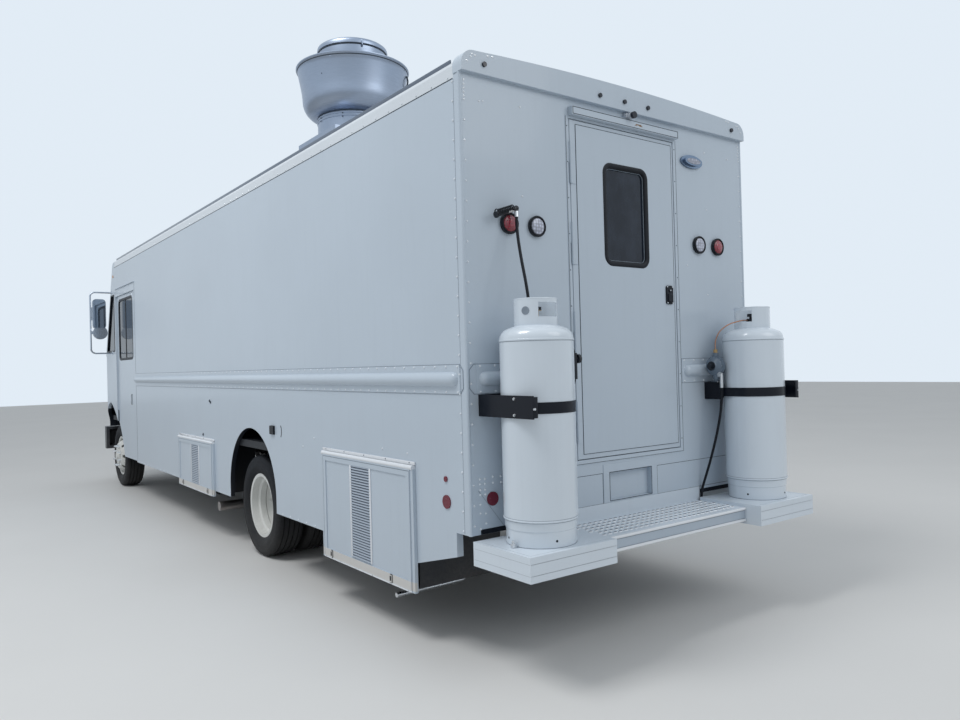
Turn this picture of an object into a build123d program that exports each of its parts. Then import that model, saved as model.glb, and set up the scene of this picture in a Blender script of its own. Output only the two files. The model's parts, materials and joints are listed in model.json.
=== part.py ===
from build123d import *
from math import atan2, cos, degrees, radians, sin, sqrt, tan
import os

os.makedirs("parts", exist_ok=True)

# A walk-in van fitted out as a food truck. Millimetres; +X is the vehicle's left, -Y its front,
# +Z up, z = 0 the ground. "Ahead" is a distance forward of the rear wall's outer face.

# Overall sizes
body_width = 2368
wall_top = 3016
rear_cap_foot = wall_top + 20
wall = 40
bumper_ahead = 9350
platform_reach = 460
rear_y = (bumper_ahead - platform_reach) / 2
half_width = body_width / 2
inner_half = half_width - wall
fit_gap = 0.3
door_gap = 5

# Running gear
front_axle_ahead = 8400
rear_axle_ahead = 3110
tyre_radius = 420
wheel_z = tyre_radius
tyre_width = 245
front_track_half = half_width - 166.5
twin_middle = half_width - 315.5
twin_spacing = 278
kingpin_half = front_track_half - 112.5
running_gap = 0.05
pin_gap = 0.05

# Frame and floor
rail_half = 432
rail_depth = 240
rail_flange = 76
rail_plate = 8
floor_top = 960
floor_thick = 60
rail_top = floor_top - floor_thick
rail_foot = rail_top - rail_depth
rail_front_ahead = 9000
rail_rear_ahead = 60

# Body shell
corner_post = 50
skirt_foot = 437
wall_foot_rear = 682
cab_door_rear = 7170
cab_door_front = 8250
cab_door_head = wall_top - 408
cab_door_thick = 26
cab_door_recess = 17
pocket_skin = 12
pocket_front_margin = 950
arch_radius = 535

# Rear door and wall
rear_door_left = 432
rear_door_right = -464
rear_door_foot = 992
rear_door_head = wall_top - 91
plate_pocket_width = 360
plate_pocket_foot = 737
plate_pocket_head = 899
plate_pocket_depth = 30

# Cab front
cowl_ahead = 9050
cowl_foot = 800
screen_foot = 1810
screen_head_ahead = 8600
screen_head = wall_top - 196
roof_front_ahead = 8290
roof_edge_z = wall_top + 121
roof_crown = 35
roof_edge_x = half_width - 84
crown_top = roof_edge_z + roof_crown
cab_corner = 150

# Eaves, shared by the roof rails and the cab front: (x, z) from the wall up to the roof's edge
eaves = (
    (half_width, wall_top + 64), (half_width - 8, wall_top + 84), (half_width - 34, wall_top + 101),
    (roof_edge_x, roof_edge_z),
)

# Front wheel arch: where it meets the skirt, a point on each curve and its crown, as (ahead, z)
arch_rear_foot = (7945, skirt_foot)
arch_rear_curve = (8200, 860)
arch_crown = (8655, 1148)
arch_front_curve = (8900, 1070)
arch_front_foot = (9000, cowl_foot - 20)
arch_below = 380

# Rear step and gas cylinders
step_reach = 350
step_top = 640
step_depth = 85
platform_inner = 617
platform_top = 660
platform_depth = 120
sheet = 5
tank_half = half_width - 266
tank_radius = 186
tank_off_wall = 49
tank_reach = tank_off_wall + tank_radius

# Roof fan
fan_x = 660
fan_ahead = 2135
fan_rim_radius = 431
fan_neck_radius = 275
curb_top = crown_top + 118
fan_foot_z = curb_top + 160
fan_rim_z = fan_foot_z + 376
fan_top = fan_rim_z + 174


def ahead(distance):
    """Y of a place this far forward of the rear wall's outer face."""
    return rear_y - distance


def block(x_span, y_span, z_span, mode=Mode.ADD):
    """A square-cornered block between two values on each axis."""
    spans = [sorted(span) for span in (x_span, y_span, z_span)]
    with Locations(tuple((low + high) / 2 for low, high in spans)):
        Box(*[high - low for low, high in spans], mode=mode)


def side_slab(outline, x_span, mode=Mode.ADD):
    """A slab with an outline of (y, z) corners, between two x values."""
    low, high = sorted(x_span)
    with BuildSketch(Plane.YZ.offset(low)) as face:
        with BuildLine():
            Polyline(*outline, close=True)
        make_face()
    extrude(face.sketch, amount=high - low, mode=mode)


def cross_slab(outline, y_span, mode=Mode.ADD):
    """A slab with an outline of (x, z) corners, between two y values."""
    low, high = sorted(y_span)
    with BuildSketch(Plane.XZ.offset(-high)) as face:
        with BuildLine():
            Polyline(*outline, close=True)
        make_face()
    extrude(face.sketch, amount=high - low, mode=mode)


def bar(start, end, radius, mode=Mode.ADD):
    """A round bar from one centre point to another."""
    run = Vector(*end) - Vector(*start)
    with BuildSketch(Plane(origin=start, z_dir=run)) as face:
        Circle(radius)
    extrude(face.sketch, amount=run.length, mode=mode)


def tube(points, arcs, radius):
    """A round pipe along straight runs joined by tangent arcs."""
    with BuildLine() as route:
        FilletPolyline(*points, radius=arcs)
    with BuildSketch(Plane(origin=route.line @ 0, z_dir=route.line % 0)) as face:
        Circle(radius)
    sweep(face.sketch, path=route.line)


def widest_arcs(points, share=0.45):
    """The widest arc that each corner of a route leaves room for."""
    places = [Vector(*point) for point in points]
    radii = []
    for before, corner, after in zip(places, places[1:], places[2:]):
        turn = radians((corner - before).get_angle(after - corner))
        shorter = min((corner - before).length, (after - corner).length)
        radii.append(share * shorter / tan(turn / 2))
    return radii


def turned(outline, centre, x_sign=1):
    """A body turned about an axis along X, from (distance out, radius) corners."""
    middle = Vector(*centre)
    with BuildSketch(Plane(origin=middle, x_dir=(x_sign, 0, 0), z_dir=(0, -x_sign, 0))) as face:
        with BuildLine():
            Polyline(*outline, close=True)
        make_face()
    revolve(face.sketch, axis=Axis(middle, (1, 0, 0)))


def save(sub_part, name):
    """Label one sub-part and write it."""
    sub_part.part.label = name
    export_step(sub_part.part, f"parts/{name}.step")


# Chassis frame: two channel rails and the cross-members between their webs
member_wide = 70
member_foot = 130
member_head = 30
cross_members = (300, 1500, 2500, 3750, 5400, 7000, 7650, 8960)
with BuildPart() as chassis_frame:
    for side in (1, -1):
        channel = (
            (side * rail_half, rail_foot),
            (side * rail_half, rail_top),
            (side * (rail_half - rail_flange), rail_top),
            (side * (rail_half - rail_flange), rail_top - rail_plate),
            (side * (rail_half - rail_plate), rail_top - rail_plate),
            (side * (rail_half - rail_plate), rail_foot + rail_plate),
            (side * (rail_half - rail_flange), rail_foot + rail_plate),
            (side * (rail_half - rail_flange), rail_foot),
        )
        cross_slab(channel, (ahead(rail_front_ahead), ahead(rail_rear_ahead)))
    member_x = (rail_plate - rail_half, rail_half - rail_plate)
    for place in cross_members:
        block(member_x, (ahead(place + member_wide / 2), ahead(place - member_wide / 2)),
              (rail_top - member_foot, rail_top - member_head))
        inside = member_wide / 2 - rail_plate
        block(member_x, (ahead(place + inside), ahead(place - inside)),
              (rail_top - member_foot, rail_top - member_head - rail_plate), mode=Mode.SUBTRACT)
save(chassis_frame, "chassis_frame")

# Leaf springs: leaves of one curvature, each shorter than the one above it
spring_half = rail_half - rail_flange / 2
spring_width = 70
leaf_thick = 10
# name, axle ahead, seat height, rise to the eyes, lengths of the leaves from the top one down
spring_table = (
    ("front", front_axle_ahead, 440, 110, (1080, 900, 700, 500)),
    ("rear", rear_axle_ahead, 500, 70, (1400, 1200, 1000, 800, 600)),
)
hanger_wall = 12
eye_radius = 26
with BuildPart() as leaf_springs:
    for spring, axle_ahead, seat_z, rise, leaves in spring_table:
        half_span = leaves[0] / 2
        curve = (half_span**2 + rise**2) / (2 * rise)
        top_z = seat_z + leaf_thick * len(leaves)
        for side in (1, -1):
            near = side * spring_half - spring_width / 2
            for number, length in enumerate(leaves):
                middle = (ahead(axle_ahead), top_z + curve)
                with BuildSketch(Plane.YZ.offset(near)) as leaf:
                    with Locations(middle):
                        Circle(curve + leaf_thick * (number + 1))
                        Circle(curve + leaf_thick * number, mode=Mode.SUBTRACT)
                    with Locations((ahead(axle_ahead), top_z)):
                        Rectangle(length, curve, mode=Mode.INTERSECT)
                extrude(leaf.sketch, amount=spring_width)
            for end in (1, -1):
                eye = (ahead(axle_ahead) + end * half_span, top_z + rise)
                bar((near, *eye), (near + spring_width, *eye), eye_radius)
                hanger = ((eye[0] - 45, rail_foot), (eye[0] + 45, rail_foot),
                          (eye[0] + eye_radius, eye[1]), (eye[0] - eye_radius, eye[1]))
                side_slab(hanger, (near - hanger_wall, near))
                side_slab(hanger, (near + spring_width, near + spring_width + hanger_wall))
save(leaf_springs, "leaf_springs")

# Rear axle: banjo housing, tubes and spindles, with a spring seat under each spring
rear_spindle = 45
rear_centre = (0, ahead(rear_axle_ahead), wheel_z)
spindle_out = twin_middle - 25
drum_radius = 203
plate_radius = 184
rear_half_outline = (
    (0, 0), (0, 190), (90, 175), (150, 110), (230, 62), (twin_middle - 200, 62),
    (twin_middle - 200, plate_radius), (twin_middle - 190, plate_radius),
    (twin_middle - 190, rear_spindle), (spindle_out, rear_spindle), (spindle_out, 0),
)
pinion_ahead = rear_axle_ahead + 330
pinion_z = wheel_z + 20
with BuildPart() as rear_axle:
    for side in (1, -1):
        turned(rear_half_outline, rear_centre, side)
        near = side * spring_half
        block((near - 45, near + 45), (ahead(rear_axle_ahead + 90), ahead(rear_axle_ahead - 90)),
              (wheel_z, spring_table[1][2]))
    bar((0, ahead(rear_axle_ahead), wheel_z), (0, ahead(pinion_ahead), pinion_z), 85)
save(rear_axle, "rear_axle")

# Front axle: dropped I-beam with a kingpin eye at each end
eye_half_height = 45
eye_outer = 38
kingpin = 19
beam_foot = 300
beam_high = 90
beam_web = 14
beam_wide = 84
beam_corner = 560
beam_centre_top = spring_table[0][2]
with BuildPart() as front_axle:
    beam = (
        (-kingpin_half, wheel_z - 35), (-beam_corner, beam_centre_top - beam_high),
        (beam_corner, beam_centre_top - beam_high), (kingpin_half, wheel_z - 35),
        (kingpin_half, wheel_z + 35), (beam_corner, beam_centre_top),
        (-beam_corner, beam_centre_top), (-kingpin_half, wheel_z + 35),
    )
    y_mid = ahead(front_axle_ahead)
    cross_slab(beam, (y_mid - beam_wide / 2, y_mid + beam_wide / 2))
    waist = (
        (-beam_corner, beam_centre_top - beam_high + 18), (beam_corner, beam_centre_top - beam_high + 18),
        (beam_corner, beam_centre_top - 18), (-beam_corner, beam_centre_top - 18),
    )
    for side in (1, -1):
        face = y_mid + side * beam_web / 2
        cross_slab(waist, (face, y_mid + side * beam_wide / 2), mode=Mode.SUBTRACT)
        x_eye = side * kingpin_half
        block((x_eye - 60, x_eye + 60), (y_mid - 60, y_mid + 60),
              (wheel_z - 60, wheel_z + 60), mode=Mode.SUBTRACT)
        low = (x_eye, y_mid, wheel_z - eye_half_height)
        high = (x_eye, y_mid, wheel_z + eye_half_height)
        block((side * (kingpin_half - 62), x_eye), (y_mid - 30, y_mid + 30),
              (wheel_z - 32, wheel_z + 32))
        bar(low, high, eye_outer)
        bar(low, high, kingpin + pin_gap, mode=Mode.SUBTRACT)
save(front_axle, "front_axle")

# Steering knuckles: forked round the axle's eye, with a spindle and a rearward arm
fork_thick = 30
fork_plate = 14
fork_plate_x = kingpin_half + eye_outer + door_gap
front_spindle = 40
spindle_end = front_track_half + 112
arm_reach = 160
arm_z = wheel_z - eye_half_height - fit_gap - fork_thick
arm_half = 22
arm_thick = 24
rod_pin = 12
rod_z = arm_z - 18
rod_eye_drop = 20
with BuildPart() as left_knuckle:
    axle_y = ahead(front_axle_ahead)
    for low in (arm_z, wheel_z + eye_half_height + fit_gap):
        bar((kingpin_half, axle_y, low), (kingpin_half, axle_y, low + fork_thick), eye_outer)
        block((kingpin_half, fork_plate_x + fork_plate), (axle_y - eye_outer, axle_y + eye_outer),
              (low, low + fork_thick))
    top = wheel_z + eye_half_height + fit_gap + fork_thick
    bar((kingpin_half, axle_y, arm_z), (kingpin_half, axle_y, top), kingpin)
    block((fork_plate_x, fork_plate_x + fork_plate), (axle_y - eye_outer, axle_y + eye_outer),
          (arm_z, top))
    plate_x = fork_plate_x + fork_plate
    bar((plate_x - 8, axle_y, wheel_z), (plate_x, axle_y, wheel_z), plate_radius)
    bar((plate_x, axle_y, wheel_z), (spindle_end, axle_y, wheel_z), front_spindle)
    arm_end = (kingpin_half, axle_y + arm_reach)
    block((kingpin_half - arm_half, kingpin_half + arm_half), (axle_y, axle_y + arm_reach),
          (arm_z, arm_z + arm_thick))
    bar((*arm_end, arm_z), (*arm_end, arm_z + arm_thick), arm_half)
    bar((*arm_end, rod_z - rod_eye_drop), (*arm_end, arm_z), rod_pin)
save(left_knuckle, "left_knuckle")
with BuildPart() as right_knuckle:
    mirror(left_knuckle.part, about=Plane.YZ)
save(right_knuckle, "right_knuckle")

# Tie rod: a tube between the two steering arms, with an eye on each arm's pin
rod_radius = 16
rod_eye = 25
with BuildPart() as tie_rod:
    rod_y = ahead(front_axle_ahead) + arm_reach
    bar((-kingpin_half, rod_y, rod_z - 2), (kingpin_half, rod_y, rod_z - 2), rod_radius - 1)
    for side in (1, -1):
        eye_foot = (side * kingpin_half, rod_y, rod_z - rod_eye_drop)
        eye_head = (side * kingpin_half, rod_y, arm_z - fit_gap)
        bar(eye_foot, eye_head, rod_eye)
        bar(eye_foot, eye_head, rod_pin + pin_gap, mode=Mode.SUBTRACT)
save(tie_rod, "tie_rod")

# Wheels: a dished steel disc in a drop-centre rim, on a hub with its brake drum
rim_section = (
    (-95, 265), (-86, 265), (-84, 248), (-40, 246), (-26, 228), (26, 228), (40, 246), (84, 248),
    (86, 265), (95, 265), (93, 240), (36, 236), (24, 219), (-24, 219), (-36, 236), (-93, 240),
)
disc_out = twin_spacing / 2
disc_thick = 11
pilot_radius = 110
disc_section = (
    (38, 236), (60, 226), (105, 206), (128, 184), (disc_out, 168), (disc_out, pilot_radius),
    (disc_out - disc_thick, pilot_radius), (disc_out - disc_thick, 163), (119, 177),
    (98, 197), (54, 217), (30, 224),
)
hub_radius = pilot_radius - fit_gap
hub_cap = 60
front_hub_section = (
    (-36, front_spindle + running_gap), (116, front_spindle + running_gap), (116, 0), (172, 0),
    (172, 45), (150, hub_cap), (150, hub_radius), (disc_out - disc_thick, hub_radius),
    (disc_out - disc_thick, 165), (112, 165), (112, 90), (36, 80), (36, drum_radius),
    (-46, drum_radius), (-46, 190), (22, 190), (22, 72), (-36, 66),
)
rear_hub_section = (
    (-180, rear_spindle + running_gap), (-20, rear_spindle + running_gap), (-20, 0), (60, 0),
    (60, 70), (32, 95), (32, hub_radius), (-disc_thick, hub_radius), (-disc_thick, 165),
    (-27, 165), (-27, drum_radius), (-183, drum_radius), (-183, 190), (-45, 190), (-45, 80),
    (-180, 75),
)
hand_holes = 8
hand_hole_circle = 196
hand_hole_radius = 21


def rim(x_middle, axle_ahead, dish):
    """A rim and its disc; the disc lies towards +X of the rim for a dish of 1."""
    centre = (x_middle, ahead(axle_ahead), wheel_z)
    turned(rim_section, centre)
    turned(disc_section, centre, dish)
    with BuildSketch(Plane.YZ.offset(x_middle)) as holes:
        with Locations((ahead(axle_ahead), wheel_z)):
            with PolarLocations(hand_hole_circle, hand_holes):
                Circle(hand_hole_radius)
    extrude(holes.sketch, amount=dish * (disc_out + 5), mode=Mode.SUBTRACT)


with BuildPart() as front_left_rim:
    rim(front_track_half, front_axle_ahead, 1)
    turned(front_hub_section, (front_track_half, ahead(front_axle_ahead), wheel_z))
save(front_left_rim, "front_left_rim")
with BuildPart() as front_right_rim:
    mirror(front_left_rim.part, about=Plane.YZ)
save(front_right_rim, "front_right_rim")
with BuildPart() as rear_left_rims:
    rim(twin_middle + twin_spacing / 2, rear_axle_ahead, -1)
    rim(twin_middle - twin_spacing / 2, rear_axle_ahead, 1)
    turned(rear_hub_section, (twin_middle, ahead(rear_axle_ahead), wheel_z))
save(rear_left_rims, "rear_left_rims")
with BuildPart() as rear_right_rims:
    mirror(rear_left_rims.part, about=Plane.YZ)
save(rear_right_rims, "rear_right_rims")

# Tyres: open-bellied rings that sit on the rims' bead seats
bead = 248 + fit_gap
tyre_half = tyre_width / 2
tyre_section = (
    (-83, bead), (-85, 266), (-96, 268), (-tyre_half, 325), (-tyre_half + 6, 385), (-100, 412),
    (-60, tyre_radius), (60, tyre_radius), (100, 412), (tyre_half - 6, 385), (tyre_half, 325),
    (96, 268), (85, 266), (83, bead), (66, bead), (72, 274), (100, 326), (92, 384), (56, 400), (-56, 400),
    (-92, 384), (-100, 326), (-72, 274), (-66, bead),
)
with BuildPart() as front_left_tyre:
    turned(tyre_section, (front_track_half, ahead(front_axle_ahead), wheel_z))
save(front_left_tyre, "front_left_tyre")
with BuildPart() as front_right_tyre:
    mirror(front_left_tyre.part, about=Plane.YZ)
save(front_right_tyre, "front_right_tyre")
with BuildPart() as rear_left_tyres:
    for side in (1, -1):
        turned(tyre_section, (twin_middle + side * twin_spacing / 2, ahead(rear_axle_ahead), wheel_z))
save(rear_left_tyres, "rear_left_tyres")
with BuildPart() as rear_right_tyres:
    mirror(rear_left_tyres.part, about=Plane.YZ)
save(rear_right_tyres, "rear_right_tyres")

# Engine block with its gearbox, and the two-piece drive shaft behind them
engine_half = 300
engine_front = 8900
engine_rear = 8080
engine_foot = 520
engine_top = 1150
gearbox_tail = 7450
gearbox_z = 620
shaft_radius = 42
carrier_ahead = cross_members[4]
carrier_z = 600
engine_mount_ahead = (8440, 8560)
engine_mount_z = (700, 740)
with BuildPart() as engine_block:
    block((-engine_half, engine_half), (ahead(engine_front), ahead(engine_rear)),
          (engine_foot, engine_top))
    with BuildSketch(Plane.XZ.offset(-ahead(engine_rear))) as bell:
        with Locations((0, gearbox_z)):
            Circle(190)
    with BuildSketch(Plane.XZ.offset(-ahead(gearbox_tail))) as tail:
        with Locations((0, gearbox_z)):
            Circle(90)
    loft([bell.sketch, tail.sketch])
    for side in (1, -1):
        block((side * engine_half, side * (rail_half - rail_plate)),
              [ahead(place) for place in engine_mount_ahead], engine_mount_z)
save(engine_block, "engine_block")
with BuildPart() as drive_shaft:
    joints = (
        (0, ahead(gearbox_tail - 1), gearbox_z), (0, ahead(carrier_ahead), carrier_z),
        (0, ahead(pinion_ahead + 4), pinion_z),
    )
    for start, end in zip(joints, joints[1:]):
        bar(start, end, shaft_radius)
    block((-60, 60), (ahead(carrier_ahead + 30), ahead(carrier_ahead - 30)),
          (carrier_z, rail_top - member_foot))
save(drive_shaft, "drive_shaft")

# Exhaust: pipe from the engine, silencer and a tailpipe that leaves at the left skirt
pipe_radius = 42
silencer_radius = 120
silencer_x = 620
silencer_z = 520
silencer_front = 5300
silencer_rear = 4350
down_pipe = (240, 575)
down_pipe_end = 7600
front_pipe_end = 7000
tail_ahead = 4020
tail_z = 300
tail_inset = 15
tail_step = 180
tail_drop = 60
exhaust_strap_half = 20
exhaust_strap_inset = 120
exhaust_strap_thick = 6
with BuildPart() as exhaust_system:
    down_x, down_z = down_pipe
    tube([(down_x, ahead(engine_rear), down_z), (down_x, ahead(down_pipe_end), down_z),
          (silencer_x, ahead(front_pipe_end), silencer_z), (silencer_x, ahead(silencer_front), silencer_z)],
         [120, 120], pipe_radius)
    bar((silencer_x, ahead(silencer_front), silencer_z), (silencer_x, ahead(silencer_rear), silencer_z),
        silencer_radius)
    y_tail = ahead(tail_ahead)
    tube([(silencer_x, ahead(silencer_rear), silencer_z), (silencer_x, y_tail, silencer_z - tail_drop),
          (silencer_x + tail_step, y_tail, tail_z), (half_width - tail_inset, y_tail, tail_z)],
         [110, 90], pipe_radius)
    strap_z = rail_foot + exhaust_strap_half
    for place in (silencer_front - exhaust_strap_inset, silencer_rear + exhaust_strap_inset):
        y_span = (ahead(place + exhaust_strap_half), ahead(place - exhaust_strap_half))
        block((rail_half, silencer_x), y_span, (strap_z, strap_z + exhaust_strap_thick))
        block((silencer_x - exhaust_strap_thick, silencer_x), y_span,
              (silencer_z + silencer_radius - 4, strap_z + exhaust_strap_thick))
save(exhaust_system, "exhaust_system")

# Fuel tank: a round-edged box hung outside the right rail by two straps
fuel_inner = rail_half + 40
fuel_outer = 980
fuel_front = 5900
fuel_rear = 4700
fuel_foot = 360
fuel_top = 640
fuel_round = 60
strap = 6
strap_half = 30
strap_inset = 220
strap_plate = (-114, 46)
with BuildPart() as fuel_tank:
    with BuildSketch(Plane.XZ.offset(-ahead(fuel_rear))) as section:
        with Locations((-(fuel_inner + fuel_outer) / 2, (fuel_foot + fuel_top) / 2)):
            RectangleRounded(fuel_outer - fuel_inner, fuel_top - fuel_foot, fuel_round)
    extrude(section.sketch, amount=fuel_front - fuel_rear)
    for place in (fuel_front - strap_inset, fuel_rear + strap_inset):
        with BuildSketch(Plane.XZ.offset(-ahead(place - strap_half))) as band:
            with Locations((-(fuel_inner + fuel_outer) / 2, (fuel_foot + fuel_top) / 2)):
                RectangleRounded(fuel_outer - fuel_inner + 2 * strap, fuel_top - fuel_foot + 2 * strap,
                                 fuel_round + strap)
        extrude(band.sketch, amount=2 * strap_half)
        block((-fuel_inner, -rail_half), (ahead(place + strap_half), ahead(place - strap_half)),
              [fuel_top + reach for reach in strap_plate])
save(fuel_tank, "fuel_tank")

# Side walls: each a whole wall with its wheel arch, cab doorway and door pocket
arch_middle = (ahead(rear_axle_ahead), wheel_z + 118)
locker_table = (
    # name, rear edge and front edge ahead, foot, head, depth inside the wall's outer face
    ("generator", 514, 1694, 283, 989, 620),
    ("battery", 4060, 5210, 388, 892, 400),
)
locker_frame = 45
serving_front = 5700
serving_rear = 3100
serving_foot = 1630
serving_head = wall_top - 376
track_z = cab_door_head + 42
track_high = 20
track_depth = 18
track_rear = cab_door_rear - pocket_front_margin + 10
gutter_z = cab_door_head + 98
gutter_rear = 7130
gutter_reach = 14
gutter_thick = 5
serving_frame = 30
mullion = 50
flap_thick = 26
hinge_barrel = 7
inlet_box = (2574, 2650, 1051, 1114)
inlet_proud = 14
hinge_drop = 8
hinge_margin = 20
hatch_leaf = 4


def wall_slab(side, lockers, serving):
    """One side wall, standing on the side given by +1 or -1."""
    outline = (
        (ahead(corner_post), wall_top), (ahead(corner_post), wall_foot_rear),
        (ahead(125), wall_foot_rear), (ahead(125), 556), (ahead(540), 444),
        (ahead(620), skirt_foot), (ahead(cab_door_rear), skirt_foot),
        (ahead(cab_door_rear), cab_door_head), (ahead(cab_door_front), cab_door_head),
        (ahead(cab_door_front), wall_top),
    )
    side_slab(outline, (side * inner_half, side * half_width))
    cut_span = (side * (inner_half - 1), side * (half_width + 1))
    with BuildSketch(Plane.YZ.offset(min(cut_span))) as arch:
        with Locations(arch_middle):
            Circle(arch_radius)
        with Locations((arch_middle[0], arch_middle[1] - arch_radius / 2)):
            Rectangle(2 * arch_radius, arch_radius)
    extrude(arch.sketch, amount=wall + 2, mode=Mode.SUBTRACT)
    pocket = (side * (inner_half - 1), side * (half_width - pocket_skin))
    block(pocket, (ahead(cab_door_front + 1), ahead(cab_door_rear - pocket_front_margin)),
          (skirt_foot - 1, cab_door_head + 20), mode=Mode.SUBTRACT)
    for name, rear, front, foot, head, depth in lockers:
        block(cut_span, (ahead(front - locker_frame), ahead(rear + locker_frame)),
              (foot, head - locker_frame), mode=Mode.SUBTRACT)
    if serving:
        block(cut_span, (ahead(serving_front), ahead(serving_rear)),
              (serving_foot, serving_head), mode=Mode.SUBTRACT)
    block((side * (inner_half - track_depth), side * inner_half), (ahead(cab_door_front), ahead(track_rear)),
          (track_z - track_high / 2, track_z + track_high / 2))
    block((side * half_width, side * (half_width + gutter_reach)),
          (ahead(cab_door_front), ahead(gutter_rear)), (gutter_z, gutter_z + gutter_thick))


def knuckles(axis, y_span, numbers, count, radius, leaf_x, leaf_z):
    """The numbered barrels of a hinge of that many, each with its leaf."""
    step = (y_span[1] - y_span[0]) / count
    for number in numbers:
        start = y_span[0] + number * step
        end = start + step - fit_gap
        bar((axis[0], start, axis[1]), (axis[0], end, axis[1]), radius)
        block(leaf_x, (start, end), leaf_z)


def flap_hinge(rear, front, head):
    """Where a flap's hinge lies: its axis as (x, z) and its run along y."""
    axis = (half_width + fit_gap + flap_thick / 2, head - hinge_drop)
    return axis, (ahead(front) + hinge_margin, ahead(rear) - hinge_margin)


with BuildPart() as left_wall:
    wall_slab(1, locker_table, False)
    for name, rear, front, foot, head, depth in locker_table:
        axis, run = flap_hinge(rear, front, head)
        knuckles(axis, run, (1, 3, 5), 6, hinge_barrel, (half_width, axis[0]), (axis[1], head))
    rear, front, foot, head = inlet_box
    block((half_width, half_width + inlet_proud), (ahead(front), ahead(rear)), (foot, head))
save(left_wall, "left_wall")
hatch_axis = (-half_width - fit_gap - hinge_barrel, serving_head + 4)
hatch_run = (ahead(serving_front) + hinge_margin, ahead(serving_rear) - hinge_margin)
with BuildPart() as right_wall:
    wall_slab(-1, (), True)
    knuckles(hatch_axis, hatch_run, (1, 3, 5), 7, hinge_barrel, (-half_width - hatch_leaf, -half_width),
             (hatch_axis[1], hatch_axis[1] + 26))
save(right_wall, "right_wall")

# Side lockers: sheet boxes behind the two flaps in the left skirt
locker_sheet = 6
with BuildPart() as side_lockers:
    for name, rear, front, foot, head, depth in locker_table:
        x_span = (half_width - depth, inner_half)
        low, high = foot + 8, min(head - locker_frame, rail_top)
        y_span = (ahead(front - locker_frame), ahead(rear + locker_frame))
        block(x_span, y_span, (low, high))
        block((x_span[0] + locker_sheet, x_span[1] + 1), (y_span[0] + locker_sheet, y_span[1] - locker_sheet),
              (low + locker_sheet, high - locker_sheet), mode=Mode.SUBTRACT)
save(side_lockers, "side_lockers")

# Locker flaps: framed flaps hinged along their top edge on the wall's face, with two latches each
flap_edge = 28
flap_edge_step = 5
flap_frame = 40
flap_foot_rail = 62
flap_sunk = 6
latch_ahead = ((769, 1553), (4219, 5029))
latch_half = 11
latch_z = (14, 56)
latch_proud = 7


def flap(rear, front, foot, head, latches):
    """A flap with a stepped edge, a raised frame round its panel, and its half of the hinge."""
    face = half_width + fit_gap
    outer = face + flap_thick
    flap_head = head - 2 * hinge_drop
    axis, run = flap_hinge(rear, front, head)
    block((face, outer - flap_edge_step), (ahead(front), ahead(rear)), (foot, flap_head))
    block((outer - flap_edge_step, outer), (ahead(front - flap_edge), ahead(rear + flap_edge)),
          (foot + latch_z[0] / 2, flap_head))
    inset = flap_edge + flap_frame
    block((outer - flap_sunk, outer + 1), (ahead(front - inset), ahead(rear + inset)),
          (foot + flap_foot_rail, flap_head - flap_frame), mode=Mode.SUBTRACT)
    for place in latches:
        block((outer, outer + latch_proud), (ahead(place + latch_half), ahead(place - latch_half)),
              (foot + latch_z[0], foot + latch_z[1]))
    knuckles(axis, run, (0, 2, 4), 6, hinge_barrel, (face + 4, face + flap_thick - 4),
             (axis[1] - hinge_drop - 1, axis[1]))


with BuildPart() as generator_door:
    flap(*locker_table[0][1:5], latch_ahead[0])
save(generator_door, "generator_door")
with BuildPart() as battery_door:
    flap(*locker_table[1][1:5], latch_ahead[1])
save(battery_door, "battery_door")

# Rear wall: the panel round the rear door, with the recessed plate pocket and the door's drip box
pocket_half = plate_pocket_width / 2
drip_box_reach = 35
hinge_radius = 8
door_hinge = (rear_door_left - 2, rear_y + hinge_radius + fit_gap)
door_hinge_length = 236
door_hinge_feet = (1090, 1595, 2100, 2557)
trim_thick = 3
door_trim = 28
hinge_relief = 12
pocket_frame_half = 232
pocket_frame_foot = 728
pocket_frame_head = 950
with BuildPart() as rear_wall:
    edge = half_width - corner_post
    block((-edge, edge), (rear_y - wall, rear_y), (wall_foot_rear, rear_cap_foot))
    block((rear_door_right - door_trim, rear_door_left + door_trim), (rear_y, rear_y + trim_thick),
          (rear_door_foot - door_trim, rear_door_head + door_trim / 2))
    block((-pocket_frame_half, pocket_frame_half), (rear_y, rear_y + trim_thick),
          (pocket_frame_foot, pocket_frame_head))
    block((rear_door_right, rear_door_left), (rear_y - wall - 1, rear_y + 1 + trim_thick),
          (rear_door_foot, rear_door_head), mode=Mode.SUBTRACT)
    block((rear_door_left - 1, rear_door_left + hinge_relief), (rear_y, rear_y + 1 + trim_thick),
          (rear_door_foot, rear_door_head), mode=Mode.SUBTRACT)
    block((-pocket_half, pocket_half), (rear_y - plate_pocket_depth, rear_y + 1 + trim_thick),
          (plate_pocket_foot, plate_pocket_head), mode=Mode.SUBTRACT)
    block((rear_door_right - 20, rear_door_left + 2), (rear_y, rear_y + drip_box_reach),
          (rear_door_head + 15, rear_door_head + 63))
    for foot in door_hinge_feet:
        middle = foot + door_hinge_length / 2 + fit_gap / 2
        bar((*door_hinge, middle), (*door_hinge, foot + door_hinge_length), hinge_radius)
        block((door_hinge[0], door_hinge[0] + 20), (rear_y, rear_y + 4),
              (middle, foot + door_hinge_length))
save(rear_wall, "rear_wall")

# Rear corner posts: square posts with a round bead along the outer corner
bead_radius = 11
with BuildPart() as corner_posts:
    for side in (1, -1):
        with BuildSketch(Plane.XY.offset(wall_foot_rear)) as plan:
            with Locations((side * (half_width - corner_post / 2), rear_y - corner_post / 2)):
                Rectangle(corner_post, corner_post)
            with Locations((side * (half_width - 6), rear_y - 6)):
                Circle(bead_radius)
        extrude(plan.sketch, amount=rear_cap_foot - wall_foot_rear)
save(corner_posts, "corner_posts")

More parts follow.
